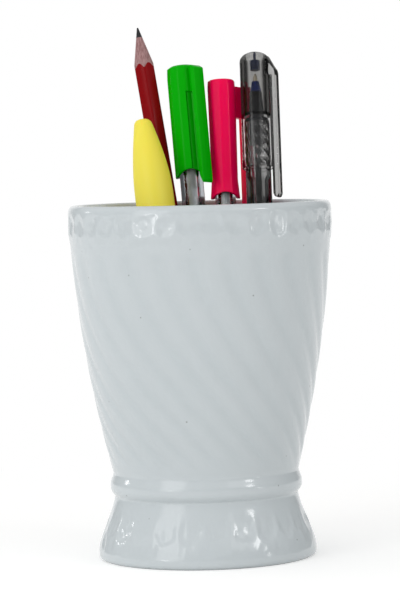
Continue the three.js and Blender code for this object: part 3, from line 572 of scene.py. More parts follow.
def cupSweepTree():
    # Sweeps a profile round Z and sinks the flutes, the ovals and the foot's channels into it
    tree, given = newTree("cupSweep", cupRelief)
    work = formulaIn(tree)
    rowCount = addNode(tree, "GeometryNodeAttributeDomainSize", {}, {"Geometry": given["Shape"]})
    perRow = work("ADD", given["Columns"], 1.0)
    grid = addNode(tree, "GeometryNodeMeshGrid", {}, {
        "Vertices X": rowCount.outputs["Point Count"], "Vertices Y": perRow})
    index = addNode(tree, "GeometryNodeInputIndex")
    row = work("FLOOR", work("DIVIDE", index, perRow))
    column = work("SUBTRACT", index, work("MULTIPLY", row, perRow))
    share = work("DIVIDE", column, given["Columns"])

    def fromProfile(value):
        sample = addNode(tree, "GeometryNodeSampleIndex", {"data_type": "FLOAT_VECTOR"}, {
            "Geometry": given["Shape"], "Value": value, "Index": row})
        return addNode(tree, "ShaderNodeSeparateXYZ", {}, {0: sample}).outputs

    spot = fromProfile(addNode(tree, "GeometryNodeInputPosition"))
    acts, rises = [
        fromProfile(addNode(tree, "GeometryNodeInputNamedAttribute", {"data_type": "FLOAT_VECTOR"}, {
            "Name": name})) for name in ("reliefActs", "reliefRises")]

    wave = work("COSINE", work("MULTIPLY", work("MULTIPLY", share, given["Flutes"]), tau))
    narrow = work("POWER", work("MULTIPLY_ADD", wave, 0.5, 0.5), given["Groove Sharpness"])
    flutes = work("MULTIPLY", work("MULTIPLY", narrow, given["Flute Depth"]), acts["X"])

    angle = work("ADD", rises["X"], work("MULTIPLY", share, tau))
    cosine, sine = work("COSINE", angle), work("SINE", angle)

    def pointAt(radius):
        return addNode(tree, "ShaderNodeCombineXYZ", {}, {
            "X": work("MULTIPLY", radius, cosine), "Y": work("MULTIPLY", radius, sine), "Z": spot["Z"]})

    plain = pointAt(spot["X"])

    def noiseOf(size, tall=1.0):
        # -1 to 1, in lumps of the given size that are tall times as high as they are wide
        squeezed = addNode(tree, "ShaderNodeVectorMath", {"operation": "MULTIPLY"}, {
            0: plain, 1: (1, 1, 1 / tall)})
        noise = addNode(tree, "ShaderNodeTexNoise", {}, {
            "Vector": squeezed, "Scale": work("DIVIDE", 1.0, size), "Detail": 1.0})
        return work("MULTIPLY_ADD", noise, 2.0, -1.0)

    shift = work("MULTIPLY", noiseOf(given["Wobble Size"]), given["Wobble"])

    def pressed(name, rise, act):
        # A form pressed in to its depth, with a rim that takes up that share of its half width
        reach = 1.02
        along = work("FRACT", work("MULTIPLY", share, given[f"{name}s"]))
        across = work("MULTIPLY_ADD", along, 2.0, -1.0)
        high = work("ADD", rise, shift)
        away = work("SQRT", work("MULTIPLY_ADD", across, across, work("MULTIPLY", high, high)))
        inside = addNode(tree, "ShaderNodeMapRange", {"interpolation_type": "SMOOTHSTEP"}, {
            "Value": away, "From Min": reach, "From Max": work("SUBTRACT", reach, given[f"{name} Rim"])})
        return work("MULTIPLY", work("MULTIPLY", inside, given[f"{name} Depth"]), act)

    ovals = pressed("Oval", rises["Y"], acts["Y"])
    channels = pressed("Channel", rises["Z"], acts["Z"])
    sunk = work("ADD", work("ADD", flutes, ovals), channels)
    worked = work("MULTIPLY", work("MAXIMUM", acts["Y"], acts["Z"]), given["Handwork"])
    ripple = work("MULTIPLY_ADD", noiseOf(given["Handwork Size"], 2.0), worked,
                  work("MULTIPLY", noiseOf(given["Ripple Size"]), given["Ripple"]))
    radius = work("MAXIMUM", work("ADD", work("SUBTRACT", spot["X"], sunk), ripple), 0.0)
    offAxis = work("GREATER_THAN", spot["X"], 0.5 * mm)     # the poles stay on the axis
    shaped = pointAt(work("MULTIPLY", radius, offAxis))
    swept = addNode(tree, "GeometryNodeSetPosition", {}, {"Geometry": grid, "Position": shaped})
    pooled = addNode(tree, "GeometryNodeStoreNamedAttribute", {"data_type": "FLOAT", "domain": "POINT"}, {
        "Geometry": swept, "Name": "glazePool", "Value": work("DIVIDE", flutes, given["Flute Depth"])})
    merged = addNode(tree, "GeometryNodeMergeByDistance", {}, {"Geometry": pooled, "Distance": 0.001 * mm})
    shaded = addNode(tree, "GeometryNodeSetShadeSmooth", {}, {"Geometry": merged})
    return endTree(tree, shaded, given["Finish"])


def makeCup(rows):
    profile = bpy.data.meshes.new("cupProfile")
    points = [(r * mm, 0, z * mm) for r, z, *rest in rows]
    profile.from_pydata(points, [(i, i + 1) for i in range(len(rows) - 1)], [])
    acts = profile.attributes.new("reliefActs", "FLOAT_VECTOR", "POINT")
    acts.data.foreach_set("vector", [c for row in rows for c in row[3]])
    rises = profile.attributes.new("reliefRises", "FLOAT_VECTOR", "POINT")
    rises.data.foreach_set("vector", [c for row in rows for c in (row[2], *row[4])])
    mesh = runTree(profile, cupSweepTree(), {**cupRelief, "Finish": finishes["cup_glaze"]})
    mesh.name = "flutedCup"
    piece = newObject("flutedCup", mesh)
    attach(piece, "cup")
    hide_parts("cup")
    print("cup made:", len(mesh.polygons), "faces in", len(rows), "rows")


makeCup(cupRows())


# Pencil

pencil = {
    "length": 160, "acrossFlats": 7, "leadRadius": 1.1, "coneLength": 16, "tipRadius": 0.25,
    "cornerRadius": 3.88, "leadFit": 0.03, "endEase": 0.15, "shaftRows": 8, "coneRows": 8,
}


def makePencil():
    place = standingPlace("pencil_lift", "pencil_lead", 0)
    length, lead, tip, ease = pencil["length"], pencil["leadRadius"], pencil["tipRadius"], pencil["endEase"]
    flat = pencil["acrossFlats"] / 2
    slope = (flat / math.cos(math.pi / 6) - tip) / pencil["coneLength"]
    turns = (-27, -20, -10, 0, 10, 20, 27, 30)
    columns = [math.radians(60 * side + turn) for side in range(6) for turn in turns]

    def hexagon(angle):
        within = (math.degrees(angle) + 30) % 60 - 30
        return min(flat / math.cos(math.radians(within)), pencil["cornerRadius"])

    def coneHeight(radius):
        return length - (radius - tip) / slope

    def ring(radiusAt, heightAt):
        return [(radiusAt(a) * math.cos(a), radiusAt(a) * math.sin(a), heightAt(a)) for a in columns]

    bore = lead + pencil["leadFit"]
    rings = [ring(lambda a: bore, lambda a: 0), ring(lambda a: hexagon(a) - ease, lambda a: 0)]
    for k in range(pencil["shaftRows"] + 1):
        share = k / pencil["shaftRows"]
        rings.append(ring(hexagon, lambda a: mix(ease, coneHeight(hexagon(a)), share)))
    paintEnds = len(rings) - 1
    for k in range(1, pencil["coneRows"] + 1):
        share = k / pencil["coneRows"]
        rings.append(ring(lambda a: mix(hexagon(a), bore, share),
                          lambda a: coneHeight(mix(hexagon(a), bore, share))))
    mesh = skin(rings)
    for face in mesh.polygons:
        row = face.index // len(columns)
        face.material_index = 0 if 1 <= row < paintEnds else 1
    settle("pencilCasing", mesh, place, "pencil", "pencil_lacquer", ["pencil_lacquer", "cedar"], 25)
    point = turned([(0, 0), (lead, 0), (lead, coneHeight(lead)), (tip, length), (0, length)], 32, 0.12)
    settle("pencilLead", point, place, "pencil", "graphite")


makePencil()
print("pencil made")


# What the capped pens share. Every height in a pen is measured along it from the end of its tail.

touchGap = 0.3
slideGap = 0.35


def rod(radius, low, high):
    return turned([(0, low), (radius, low), (radius, high), (0, high)], 32)


def refill(pen, low, high):
    # A thin tube, and the ink in the upper share of it
    outer = pen["tubeRadius"]
    bore = outer - pen["tubeWall"]
    tube = turned([(bore, low), (outer, low), (outer, high), (bore, high), (bore, low)], 32)
    return tube, rod(bore - touchGap, mix(high, low, pen["inkShare"]), high)


def capBore(pen):
    return pen["barrelRadius"] + slideGap


def capRadius(pen):
    return capBore(pen) + pen["capWall"]


def tailPlug(pen):
    outer, head = pen["barrelRadius"], pen["plugHead"]
    spigot = outer - pen["barrelWall"] - touchGap
    end = head + pen["plugSpigot"]
    outline = [(0, 0), (outer, 0), (outer, head), (spigot, head), (spigot, end), (0, end)]
    return turned(outline, 48, pen["tailRound"])


def slab(outline, width, ease, sharpWithin):
    # A plate cut to an outline of (distance from the pen's axis, height). Edges past sharpWithin are eased.
    shape = bmesh.new()
    half = width / 2
    near = [shape.verts.new((x, -half, z)) for x, z in outline]
    far = [shape.verts.new((x, half, z)) for x, z in outline]
    shape.faces.new(near)
    shape.faces.new(far[::-1])
    for i in range(len(outline)):
        k = (i + 1) % len(outline)
        shape.faces.new((near[k], near[i], far[i], far[k]))
    bmesh.ops.recalc_face_normals(shape, faces=shape.faces)
    rounded = [edge for edge in shape.edges if max(vertex.co.x for vertex in edge.verts) > sharpWithin]
    bmesh.ops.bevel(
        shape, geom=rounded, offset=ease, segments=3, profile=0.5, affect="EDGES", clamp_overlap=True)
    mesh = bpy.data.meshes.new("slab")
    shape.to_mesh(mesh)
    shape.free()
    return mesh


def clip(pen):
    # An arm and its root, in one. Where a narrower web carries the arm, it shows as a groove.
    width, ease, slant = pen["clipWidth"], pen["clipEase"], pen["clipTipSlant"]
    root = capBore(pen) + pen["capWall"] / 2
    inner = capRadius(pen) + pen["clipStandOff"]
    outer = inner + pen["clipThickness"]
    top = pen["length"] - pen["clipRootTop"]
    foot = top - pen["clipRoot"]
    tip = pen["length"] - pen["clipReach"]
    nose = pen["clipThickness"] / 2
    shoulder = top - pen["clipShoulder"]
    bend = pen["clipBend"] * nose
    front = [
        (inner, tip + nose + slant), (inner + nose / 2, tip + slant),
        (outer - nose / 2, tip), (outer, tip + nose),
        (outer, shoulder - bend), (outer - nose / 4, shoulder - bend / 2), (outer - nose, shoulder)]
    web = pen["clipWeb"]
    if not web:
        return [slab([(root, foot), (inner, foot), *front, (root, top)], width, ease, root + 0.1)]
    middle, webTop = inner + nose / 2, top - web["drop"]
    sides = [(root, foot), (middle, foot), (middle, webTop), (root, webTop)]
    return [slab(sides, web["width"], 0.01, outer), slab([*front, (inner, top)], width, ease, 0)]


def facetShare(angle, sides, softness):
    # How far out a polygon of flats with softened corners lies, one corner facing -Y
    flat = math.cos(math.pi / sides)
    within = (angle + math.pi / 2 + math.pi / sides) % (tau / sides) - math.pi / sides
    return min(flat / math.cos(abs(abs(within) - math.pi / sides)), 1 - softness)


def capShell(pen):
    # The mouth dips at its two sides and arches up at the front and the back. Under the clip a cap
    # may have a groove at each side, which ends where the clip's web begins.
    bore, outer = capBore(pen), capRadius(pen)
    top, wide, arch, flare = pen["length"], pen["capTopRound"], pen["mouthArc"], pen["mouthFlare"]
    mouth, ceiling = top - pen["capLength"], top - pen["capTop"]
    skirt = mouth + arch + flare
    rim, crown = outer + pen["capMouthGrow"], outer + pen["capTopGrow"]
    groove = pen["clipGroove"]
    grooveTop = top - pen["clipRootTop"] - pen["clipRoot"]
    grooveEnd = [(outer, grooveTop), (outer, grooveTop + groove["step"])] if groove else []
    outline = eased([
        (0, ceiling), (bore, ceiling), (bore, skirt), (bore, mouth), (rim, mouth),
        (outer + pen["capMouthGrow"] / 2, mouth + arch + flare / 4), (outer, skirt), *grooveEnd,
        (crown, top - 3 * wide), (crown - wide / 6, top - wide / 2), (crown - wide, top), (0, top)], 0.3)
    lipTop = mouth + flare / 4 + 0.35        # the rings below this are the mouth's edge
    count = pen["facets"] * 6                # six columns to a facet
    turn = math.radians(pen["clipAngle"])
    rings = []
    for r, h in outline[1:-1]:
        outside = r > bore + 0.4 * pen["capWall"]
        grooved = groove and outside and h < grooveTop + groove["step"] / 2
        ring = []
        for j in range(count):
            angle = tau * j / count
            radius = r * (facetShare(angle, pen["facets"], pen["facetSoftness"]) if outside else 1)
            if grooved and groove["near"] < math.degrees(min(angle, tau - angle)) < groove["far"]:
                radius = max(radius - groove["depth"], bore + groove["floor"])
            lift = arch * math.sin(angle + turn) ** 2 if h < lipTop else 0
            ring.append((radius * math.cos(angle), radius * math.sin(angle), h + lift))
        rings.append(ring)
    return skin(rings, (0, 0, outline[0][1]), (0, 0, top))


def settlePen(key, place, pieces, looks={}):
    # What the cap carries is named for it; the rest rides on the pen
    sharpAngles = {"Cap": 30, "Grip": 32}
    for name, (mesh, slot) in pieces.items():
        body = f"{key}_cap" if name.startswith("Cap") else f"{key}_pen"
        settle(f"{key}Pen{name}", mesh, place, body, slot, looks.get(name), sharpAngles.get(name, 38))
    print(key, "pen made")


def makePen(key, pen):
    place = standingPlace(f"{key}_cap_pull", f"{key}_pen_tail_plug", pen["clipAngle"])
    outer, head, tail = pen["barrelRadius"], pen["plugHead"], pen["plugHead"] + pen["plugSpigot"]
    bore = outer - pen["barrelWall"]
    point, ball, end = pen["pointRadius"], pen["ballRadius"], pen["noseEndRadius"]
    tip = pen["length"] - pen["capTop"] - pen["tipRoom"] - pen["pointLength"]
    front = tip - pen["noseLength"]
    noseFoot = front - pen["noseSpigot"]
    pointFoot, pointTip = tip - pen["noseLength"] / 2, tip + pen["pointLength"]
    pocket, throat, spigot = pen["tubeRadius"] + touchGap, point + touchGap, bore - touchGap
    waist = bore - pocket
    barrel = [
        (bore, head + touchGap), (outer, head + touchGap), (outer, front), (bore, front),
        (bore, noseFoot - touchGap), (pocket, noseFoot - touchGap - waist), (pocket, tail + touchGap + waist),
        (bore, tail + touchGap), (bore, head + touchGap)]
    nose = [
        (pocket, noseFoot), (spigot, noseFoot), (spigot, front + touchGap), (outer, front + touchGap),
        (outer, front + pen["noseLength"] / 4), (end, tip), (throat, tip), (throat, front), (pocket, front),
        (pocket, noseFoot)]
    nib = [
        (0, pointFoot), (point, pointFoot), (point, tip + touchGap), (end, tip + touchGap),
        (end, tip + 2 * touchGap), (ball, pointTip - ball), (0, pointTip)]
    tube, ink = refill(pen, tail + pen["tubeShort"], front - touchGap)
    settlePen(key, place, {
        "Cap": (joined(capShell(pen), *clip(pen)), f"{key}_plastic"),
        "Barrel": (turned(barrel), "clear_plastic"),
        "TailPlug": (tailPlug(pen), f"{key}_plastic"),
        "NoseCone": (turned(nose), "dark_trim"),
        "Point": (turned(nib, 32, 0.1), "point_brass"),
        "RefillTube": (tube, "refill_tube"),
        "RefillInk": (ink, f"{key}_ink"),
    })


greenPen = {
    "length": 144.7, "barrelRadius": 4.2, "barrelWall": 1.1, "plugHead": 3, "plugSpigot": 6, "tailRound": 1.2,
    "noseLength": 13, "noseSpigot": 8, "noseEndRadius": 1.5,
    "pointLength": 2.8, "pointRadius": 0.8, "ballRadius": 0.35,
    "tubeRadius": 1.6, "tubeWall": 0.4, "tubeShort": 9, "inkShare": 0.86,
    "capLength": 41, "capWall": 1.25, "capTop": 1.6, "capTopRound": 1.5, "tipRoom": 1.8,
    "facets": 12, "facetSoftness": 0.006, "capTopGrow": 0, "capMouthGrow": 0,
    "mouthFlare": 5, "mouthArc": 2.4,
    "clipWidth": 4.6, "clipThickness": 2, "clipStandOff": 1.3, "clipRootTop": 0.8, "clipRoot": 9.6,
    "clipReach": 44.5, "clipShoulder": 0.6, "clipTipSlant": 2.2, "clipAngle": -50, "clipEase": 0.35,
    "clipBend": 1, "clipWeb": {"width": 3, "drop": 0.5},
    # near and far are degrees round from the clip's middle
    "clipGroove": {"depth": 0.85, "step": 0.3, "near": 7, "far": 34, "floor": 0.4},
}
makePen("green", greenPen)

pinkPen = {
    "length": 138.3, "barrelRadius": 3.75, "barrelWall": 1, "plugHead": 3, "plugSpigot": 6, "tailRound": 1.2,
    "noseLength": 12, "noseSpigot": 8, "noseEndRadius": 1.4,
    "pointLength": 2.8, "pointRadius": 0.8, "ballRadius": 0.35,
    "tubeRadius": 1.5, "tubeWall": 0.4, "tubeShort": 9, "inkShare": 0.8,
    "capLength": 43.4, "capWall": 0.8, "capTop": 1.6, "capTopRound": 1, "tipRoom": 1.8,
    "facets": 10, "facetSoftness": 0.01, "capTopGrow": 0.3, "capMouthGrow": 0.6,
    "mouthFlare": 5, "mouthArc": 2,
    "clipWidth": 4, "clipThickness": 2.3, "clipStandOff": 2.9, "clipRootTop": 2.2, "clipRoot": 11.5,
    "clipReach": 46.6, "clipShoulder": 0.4, "clipTipSlant": 0.8, "clipAngle": 29, "clipEase": 0.3,
    "clipBend": 1, "clipWeb": None, "clipGroove": None,
}
makePen("pink", pinkPen)


# Gel pen

gelPen = {
    "length": 150, "barrelRadius": 4.6, "barrelWall": 1, "tailRound": 1.4, "plugHead": 3.5, "plugSpigot": 6,
    "gripLength": 17.6, "gripThickness": 0.9, "neckWall": 0.5, "neckLead": 2,
    "noseRadius": 2.15, "noseFootRadius": 2.75, "noseLength": 9.6, "noseSpigot": 9, "noseFlange": 1.2,
    "holderLength": 4, "holderRadius": 2, "holderEndRadius": 1.3, "holderShank": 5, "holderShankRadius": 1.2,
    "pointLength": 3, "pointShank": 2.4, "pointRadius": 0.75, "ballRadius": 0.35,
    "tubeRadius": 1.8, "tubeWall": 0.4, "tubeShort": 12, "inkShare": 0.9,
    "capLength": 43, "capWall": 0.55, "capTop": 1.2, "sleeveBore": 3.1, "sleeveStart": (0.6, 2),
    "domeHeight": 3.6, "mouthRing": 2.8, "mouthRingStep": 0.25,
    "sealLength": 6.4, "sealRadius": 1.8, "sealStem": 1.9, "sealStemRadius": 0.45, "sealFoot": 1,
    "clipWidth": 3.2, "clipThickness": 2.4, "clipStandOff": 0.9, "clipRootTop": 2.2, "clipRoot": 7,
    "clipReach": 54.5, "clipShoulder": 4.2, "clipTipSlant": 0, "clipAngle": -30, "clipEase": 0.35,
    "clipBend": 2.2, "clipWeb": None,
}
gripGrooves = {
    "Around": 3, "Pitch": 3.85, "Low End": 0.0, "High End": 1.0, "Margin": 1.6, "Outside": 0.0,
    "Depth": 0.55, "Fall": 3.9 / math.radians(60), "Start": math.radians(86),
}


def grooveTree():
    # Presses slanted, leaf-shaped grooves into a sleeve: they follow each other up it in columns
    tree, given = newTree("gripGrooves", gripGrooves)
    work = formulaIn(tree)

    def ramp(value, low, high):
        return addNode(tree, "ShaderNodeMapRange", {"interpolation_type": "SMOOTHSTEP"}, {
            "Value": value, "From Min": low, "From Max": high})

    place = addNode(tree, "GeometryNodeInputPosition")
    spot = addNode(tree, "ShaderNodeSeparateXYZ", {}, {0: place}).outputs
    angle = work("ADD", work("ARCTAN2", spot["Y"], spot["X"]), given["Start"])
    turn = work("FRACT", work("DIVIDE", work("MULTIPLY", angle, given["Around"]), tau))
    across = work("MULTIPLY_ADD", turn, 2.0, -1.0)       # -1 to 1 over a column
    arc = work("DIVIDE", work("MULTIPLY", across, math.pi), given["Around"])
    fallen = work("MULTIPLY_ADD", arc, given["Fall"], spot["Z"])
    phase = work("FRACT", work("DIVIDE", work("SUBTRACT", fallen, given["Low End"]), given["Pitch"]))
    # a gentle lower side, a steep upper one
    rise, fall, leafEnd = (0.12, 0.55), (0.62, 0.8), (0.5, 0.78)
    groove = work("MULTIPLY", ramp(phase, *rise), work("SUBTRACT", 1.0, ramp(phase, *fall)))
    ends = work("SUBTRACT", 1.0, ramp(work("ABSOLUTE", across), *leafEnd))
    lowEnd = ramp(spot["Z"], given["Low End"], work("ADD", given["Low End"], given["Margin"]))
    highEnd = ramp(spot["Z"], given["High End"], work("SUBTRACT", given["High End"], given["Margin"]))
    radius = work("SQRT", work("MULTIPLY_ADD", spot["X"], spot["X"], work("MULTIPLY", spot["Y"], spot["Y"])))
    outside = work("GREATER_THAN", radius, given["Outside"])
    within = work("MULTIPLY", work("MULTIPLY", groove, ends), work("MULTIPLY", lowEnd, highEnd))
    depth = work("MULTIPLY", within, work("MULTIPLY", outside, given["Depth"]))
    shrink = work("DIVIDE", work("SUBTRACT", radius, depth), radius)
    moved = addNode(tree, "ShaderNodeCombineXYZ", {}, {
        "X": work("MULTIPLY", spot["X"], shrink), "Y": work("MULTIPLY", spot["Y"], shrink), "Z": spot["Z"]})
    pressed = addNode(tree, "GeometryNodeSetPosition", {}, {"Geometry": given["Shape"], "Position": moved})
    return endTree(tree, pressed, given["Finish"])


def gelCap(pen, noseFoot):
    # Above the pen's nose the wall thickens inwards to a sleeve round the point
    bore, outer, sleeve = capBore(pen), capRadius(pen), pen["sleeveBore"]
    mouth, ceiling = pen["length"] - pen["capLength"], pen["length"] - pen["capTop"]
    ring, ringTop = outer + pen["mouthRingStep"], mouth + pen["mouthRing"]
    dome = pen["domeHeight"]
    sleeveLow, sleeveHigh = [noseFoot + step for step in pen["sleeveStart"]]
    outline = [
        (0, ceiling), (sleeve, ceiling), (sleeve, sleeveHigh), (bore, sleeveLow), (bore, mouth),
        (ring, mouth), (ring, ringTop), (outer, ringTop)]
    for k in range(11):
        angle = math.pi / 2 * k / 10
        radius = outer * math.cos(angle) if k < 10 else 0
        outline.append((radius, pen["length"] - dome + dome * math.sin(angle)))
    return joined(turned(outline, 64, 0.12), *clip(pen))


def makeGrip(pen, low, high):
    rows, columns = 140, 144
    outer = pen["barrelRadius"]
    inner = outer - pen["gripThickness"]
    wall = [(outer, mix(low, high, k / rows)) for k in range(rows + 1)]
    sleeve = turned([(inner, low), *wall, (inner, high), (inner, low)], columns, 0.06)
    grip = runTree(sleeve, grooveTree(), {
        **gripGrooves, "Low End": low, "High End": high, "Outside": outer - pen["gripThickness"] / 2,
        "Finish": finishes["grip_rubber"]})
    grip.materials.clear()
    return grip


def makeGelPen(pen):
    place = standingPlace("gel_cap_pull", "gel_pen_tail_plug", pen["clipAngle"])
    outer, head, tail = pen["barrelRadius"], pen["plugHead"], pen["plugHead"] + pen["plugSpigot"]
    lead, point, ball = pen["neckLead"], pen["pointRadius"], pen["ballRadius"]

    # down the pen from the inside of the cap's top
    sealTop = pen["length"] - pen["capTop"] - touchGap
    sealFoot = sealTop - pen["sealLength"]
    pointTip = sealFoot - touchGap
    holderTop = pointTip - pen["pointLength"]
    noseTip = holderTop - pen["holderLength"]
    noseFoot = noseTip - pen["noseLength"]
    flange = noseFoot - pen["noseFlange"]
    neckTop = flange - touchGap
    gripFoot = neckTop - pen["gripLength"]
    barrelTop = gripFoot - touchGap

    seal, stem = pen["sealRadius"], pen["sealStemRadius"]
    sealFace, stemFoot = sealFoot + pen["sealFoot"], sealTop - pen["sealStem"]
    capSeal = [
        (0, sealFace), (seal, sealFace), (seal, stemFoot), (stem, stemFoot), (stem, sealTop), (0, sealTop)]

    neck = outer - pen["gripThickness"] - touchGap
    neckBore = neck - pen["neckWall"]
    bore, pocket = outer - pen["barrelWall"], pen["tubeRadius"] + touchGap
    waistFoot, waistTop = tail + touchGap, barrelTop - lead
    barrel = [
        (bore, head + touchGap), (outer, head + touchGap), (outer, barrelTop), (neck, barrelTop),
        (neck, neckTop), (neckBore, neckTop), (neckBore, waistTop), (pocket, waistTop - lead),
        (pocket, waistFoot + lead), (bore, waistFoot), (bore, head + touchGap)]

    plug, shank = neckBore - touchGap, pen["holderShankRadius"]
    spigotFoot = flange - pen["noseSpigot"]
    nose = [
        (pocket, spigotFoot), (plug, spigotFoot), (plug, flange), (outer, flange),
        (outer - pen["noseFlange"] / 2, noseFoot), (pen["noseFootRadius"], noseFoot),
        (pen["noseRadius"], noseTip), (shank + touchGap, noseTip), (shank + touchGap, noseFoot),
        (pocket, noseFoot - pen["noseFlange"]), (pocket, spigotFoot)]

    seat, socket = noseTip + touchGap, point + touchGap
    shankFoot, pointFoot = seat - pen["holderShank"], holderTop - pen["pointShank"]
    holder = [
        (0, shankFoot), (shank, shankFoot), (shank, seat), (pen["holderRadius"], seat),
        (pen["holderEndRadius"], holderTop), (socket, holderTop), (socket, pointFoot - touchGap),
        (0, pointFoot - touchGap)]
    tip = [
        (0, pointFoot), (point, pointFoot), (point, pointTip - pen["pointLength"] / 2),
        (ball, pointTip - ball), (0, pointTip)]

    tube, ink = refill(pen, tail + pen["tubeShort"], neckTop)
    settlePen("gel", place, {
        "Cap": (gelCap(pen, noseFoot), "smoke_plastic"),
        "CapSeal": (turned(capSeal), "seal_rubber"),
        "Barrel": (turned(barrel), "smoke_barrel"),
        "Grip": (makeGrip(pen, gripFoot, neckTop), "grip_rubber"),
        "NoseCone": (turned(nose), "gel_nose"),
        "TipHolder": (turned(holder), "gel_blue"),
        "Point": (turned(tip, 32, 0.1), "point_steel"),
        "TailPlug": (tailPlug(pen), "gel_plug"),
        "RefillTube": (tube, "refill_tube"),
        "RefillInk": (ink, "gel_ink"),
    }, {"RefillTube": ["clearRefill"]})


makeGelPen(gelPen)


# Highlighter

highlighter = {
    "length": 126.6, "capLength": 38, "capWall": 1.4, "capFloor": 1.8, "capGrow": 1.1, "capRound": 2,
    "halfWidth": 7.05, "halfDepth": 6.6, "wall": 1.3, "cornerPower": 1.75, "cornerSoftness": 0.12,
    "taperLength": 28, "tailHalfShare": 0.42, "tailShift": 0.9, "tailRound": 1.8, "tailInset": 1.26,
    "sectionRadius": 5, "sectionNose": 9, "sectionNoseRadius": 3.1, "sectionSpigot": 7, "spigotEase": 0.35,
    "nibRadius": 2, "nibLength": 6.5, "nibSlant": 3, "nibRoom": 2.2, "nibShank": 18,
    "reservoirRadius": 3.6, "reservoirLength": 62, "columns": 96,
}


def ovalRing(halfWidth, halfDepth, height, shift=0.0):
    # A rounded lozenge, its blunt corners to the front, back and sides
    power, soft = highlighter["cornerPower"], highlighter["cornerSoftness"]
    ring = []
    for j in range(highlighter["columns"]):
        angle = tau * j / highlighter["columns"]
        across = (math.cos(angle) / halfWidth) ** 2 + (soft / halfWidth) ** 2
        deep = (math.sin(angle) / halfDepth) ** 2 + (soft / halfDepth) ** 2
        radius = (across ** (power / 2) + deep ** (power / 2)) ** (-1 / power)
        ring.append((radius * math.cos(angle) + shift, radius * math.sin(angle), height))
    return ring


def highlighterCap(pen):
    # Each ring is inset from the outside by so much, up the outside and down into the cap
    length, wall, floor, edge = pen["capLength"], pen["capWall"], pen["capFloor"], pen["capRound"]
    insets = []
    for k in range(6):
        angle = math.pi / 2 * k / 5
        insets.append((edge * (1 - math.sin(angle)), edge * (1 - math.cos(angle))))
    insets += [(0, length - 0.4), (0.12, length - 0.1), (0.4, length), (wall - 0.3, length),
               (wall, length - 0.3), (wall, floor + 0.6), (wall + 0.6, floor)]
    wide, deep = pen["halfWidth"] + pen["capGrow"], pen["halfDepth"] + pen["capGrow"]
    return skin([ovalRing(wide - inset, deep - inset, height) for inset, height in insets],
                (0, 0, 0), (0, 0, floor))


def highlighterBarrel(pen):
    # From the tail's inside down to the mouth, and up the outside to the rounded tail
    length, wall, tail = pen["length"], pen["wall"], pen["tailRound"]
    mouth = pen["capLength"] + touchGap
    taperFrom, taperTo = length - pen["taperLength"], length - tail

    def shellRing(height, inset, drop=0.0):
        along = min(1, (length - height) / pen["taperLength"])
        share = mix(pen["tailHalfShare"], 1, math.sin(math.pi / 2 * along))
        shift = -pen["tailShift"] * (1 - share) / (1 - pen["tailHalfShare"])
        wide, deep = pen["halfWidth"] * share - inset, pen["halfDepth"] * share - inset
        return ovalRing(wide, deep, height - drop, shift)

    rings = [shellRing(mix(taperFrom, taperTo, k / 12), wall, wall) for k in range(12, -1, -1)]
    rings += [shellRing(mouth + 0.2, wall), shellRing(mouth, wall - 0.2), shellRing(mouth, 0.3)]
    rings += [shellRing(mix(mouth + 0.3, taperFrom, k / 9), 0) for k in range(9)]
    rings += [shellRing(mix(taperFrom, taperTo, k / 24), 0) for k in range(25)]
    for k in range(1, 8):
        angle = math.pi / 2 * k / 7
        rings.append(shellRing(taperTo + tail * math.sin(angle), pen["tailInset"] * (1 - math.cos(angle))))
    return skin(rings, (-pen["tailShift"], 0, taperTo - wall), (-pen["tailShift"], 0, length))


def makeHighlighter(pen):
    place = standingPlace("highlighter_pull", "highlighter_cap", 0)
    settle("highlighterCap", highlighterCap(pen), place, "highlighter_cap", "yellow_plastic", sharpAngle=40)
    settle("highlighterBarrel", highlighterBarrel(pen), place, "highlighter", "yellow_plastic", sharpAngle=50)
    nibTip = pen["capFloor"] + pen["nibRoom"]
    end = nibTip + pen["nibLength"]
    nibTop = end + pen["nibShank"]
    throat, socket = pen["nibRadius"] + touchGap, pen["reservoirRadius"] + touchGap
    outer, shoulder = pen["sectionRadius"], pen["capLength"]
    spigot = min(pen["halfWidth"], pen["halfDepth"]) - pen["wall"] - touchGap - pen["spigotEase"]
    top = shoulder + pen["sectionSpigot"]
    section = [
        (throat, end), (pen["sectionNoseRadius"], end), (outer, end + pen["sectionNose"]), (outer, shoulder),
        (spigot, shoulder), (spigot, top), (socket, top), (socket, nibTop), (throat, nibTop), (throat, end)]
    settle("highlighterSection", turned(section, 48, 0.3), place, "highlighter", "black_plastic")
    nib = rod(pen["nibRadius"], nibTip, nibTop)
    for vertex in nib.vertices:
        if vertex.co.z < nibTip + pen["nibLength"] / 2:
            vertex.co.z += pen["nibSlant"] * (1 + vertex.co.x / pen["nibRadius"]) / 2
    settle("highlighterNib", nib, place, "highlighter", "nib_felt")
    wickFoot = nibTop + touchGap
    wick = rod(pen["reservoirRadius"], wickFoot, wickFoot + pen["reservoirLength"])
    settle("highlighterReservoir", wick, place, "highlighter", "wick_felt")


makeHighlighter(highlighter)
print("highlighter made")


# Floor, light and camera

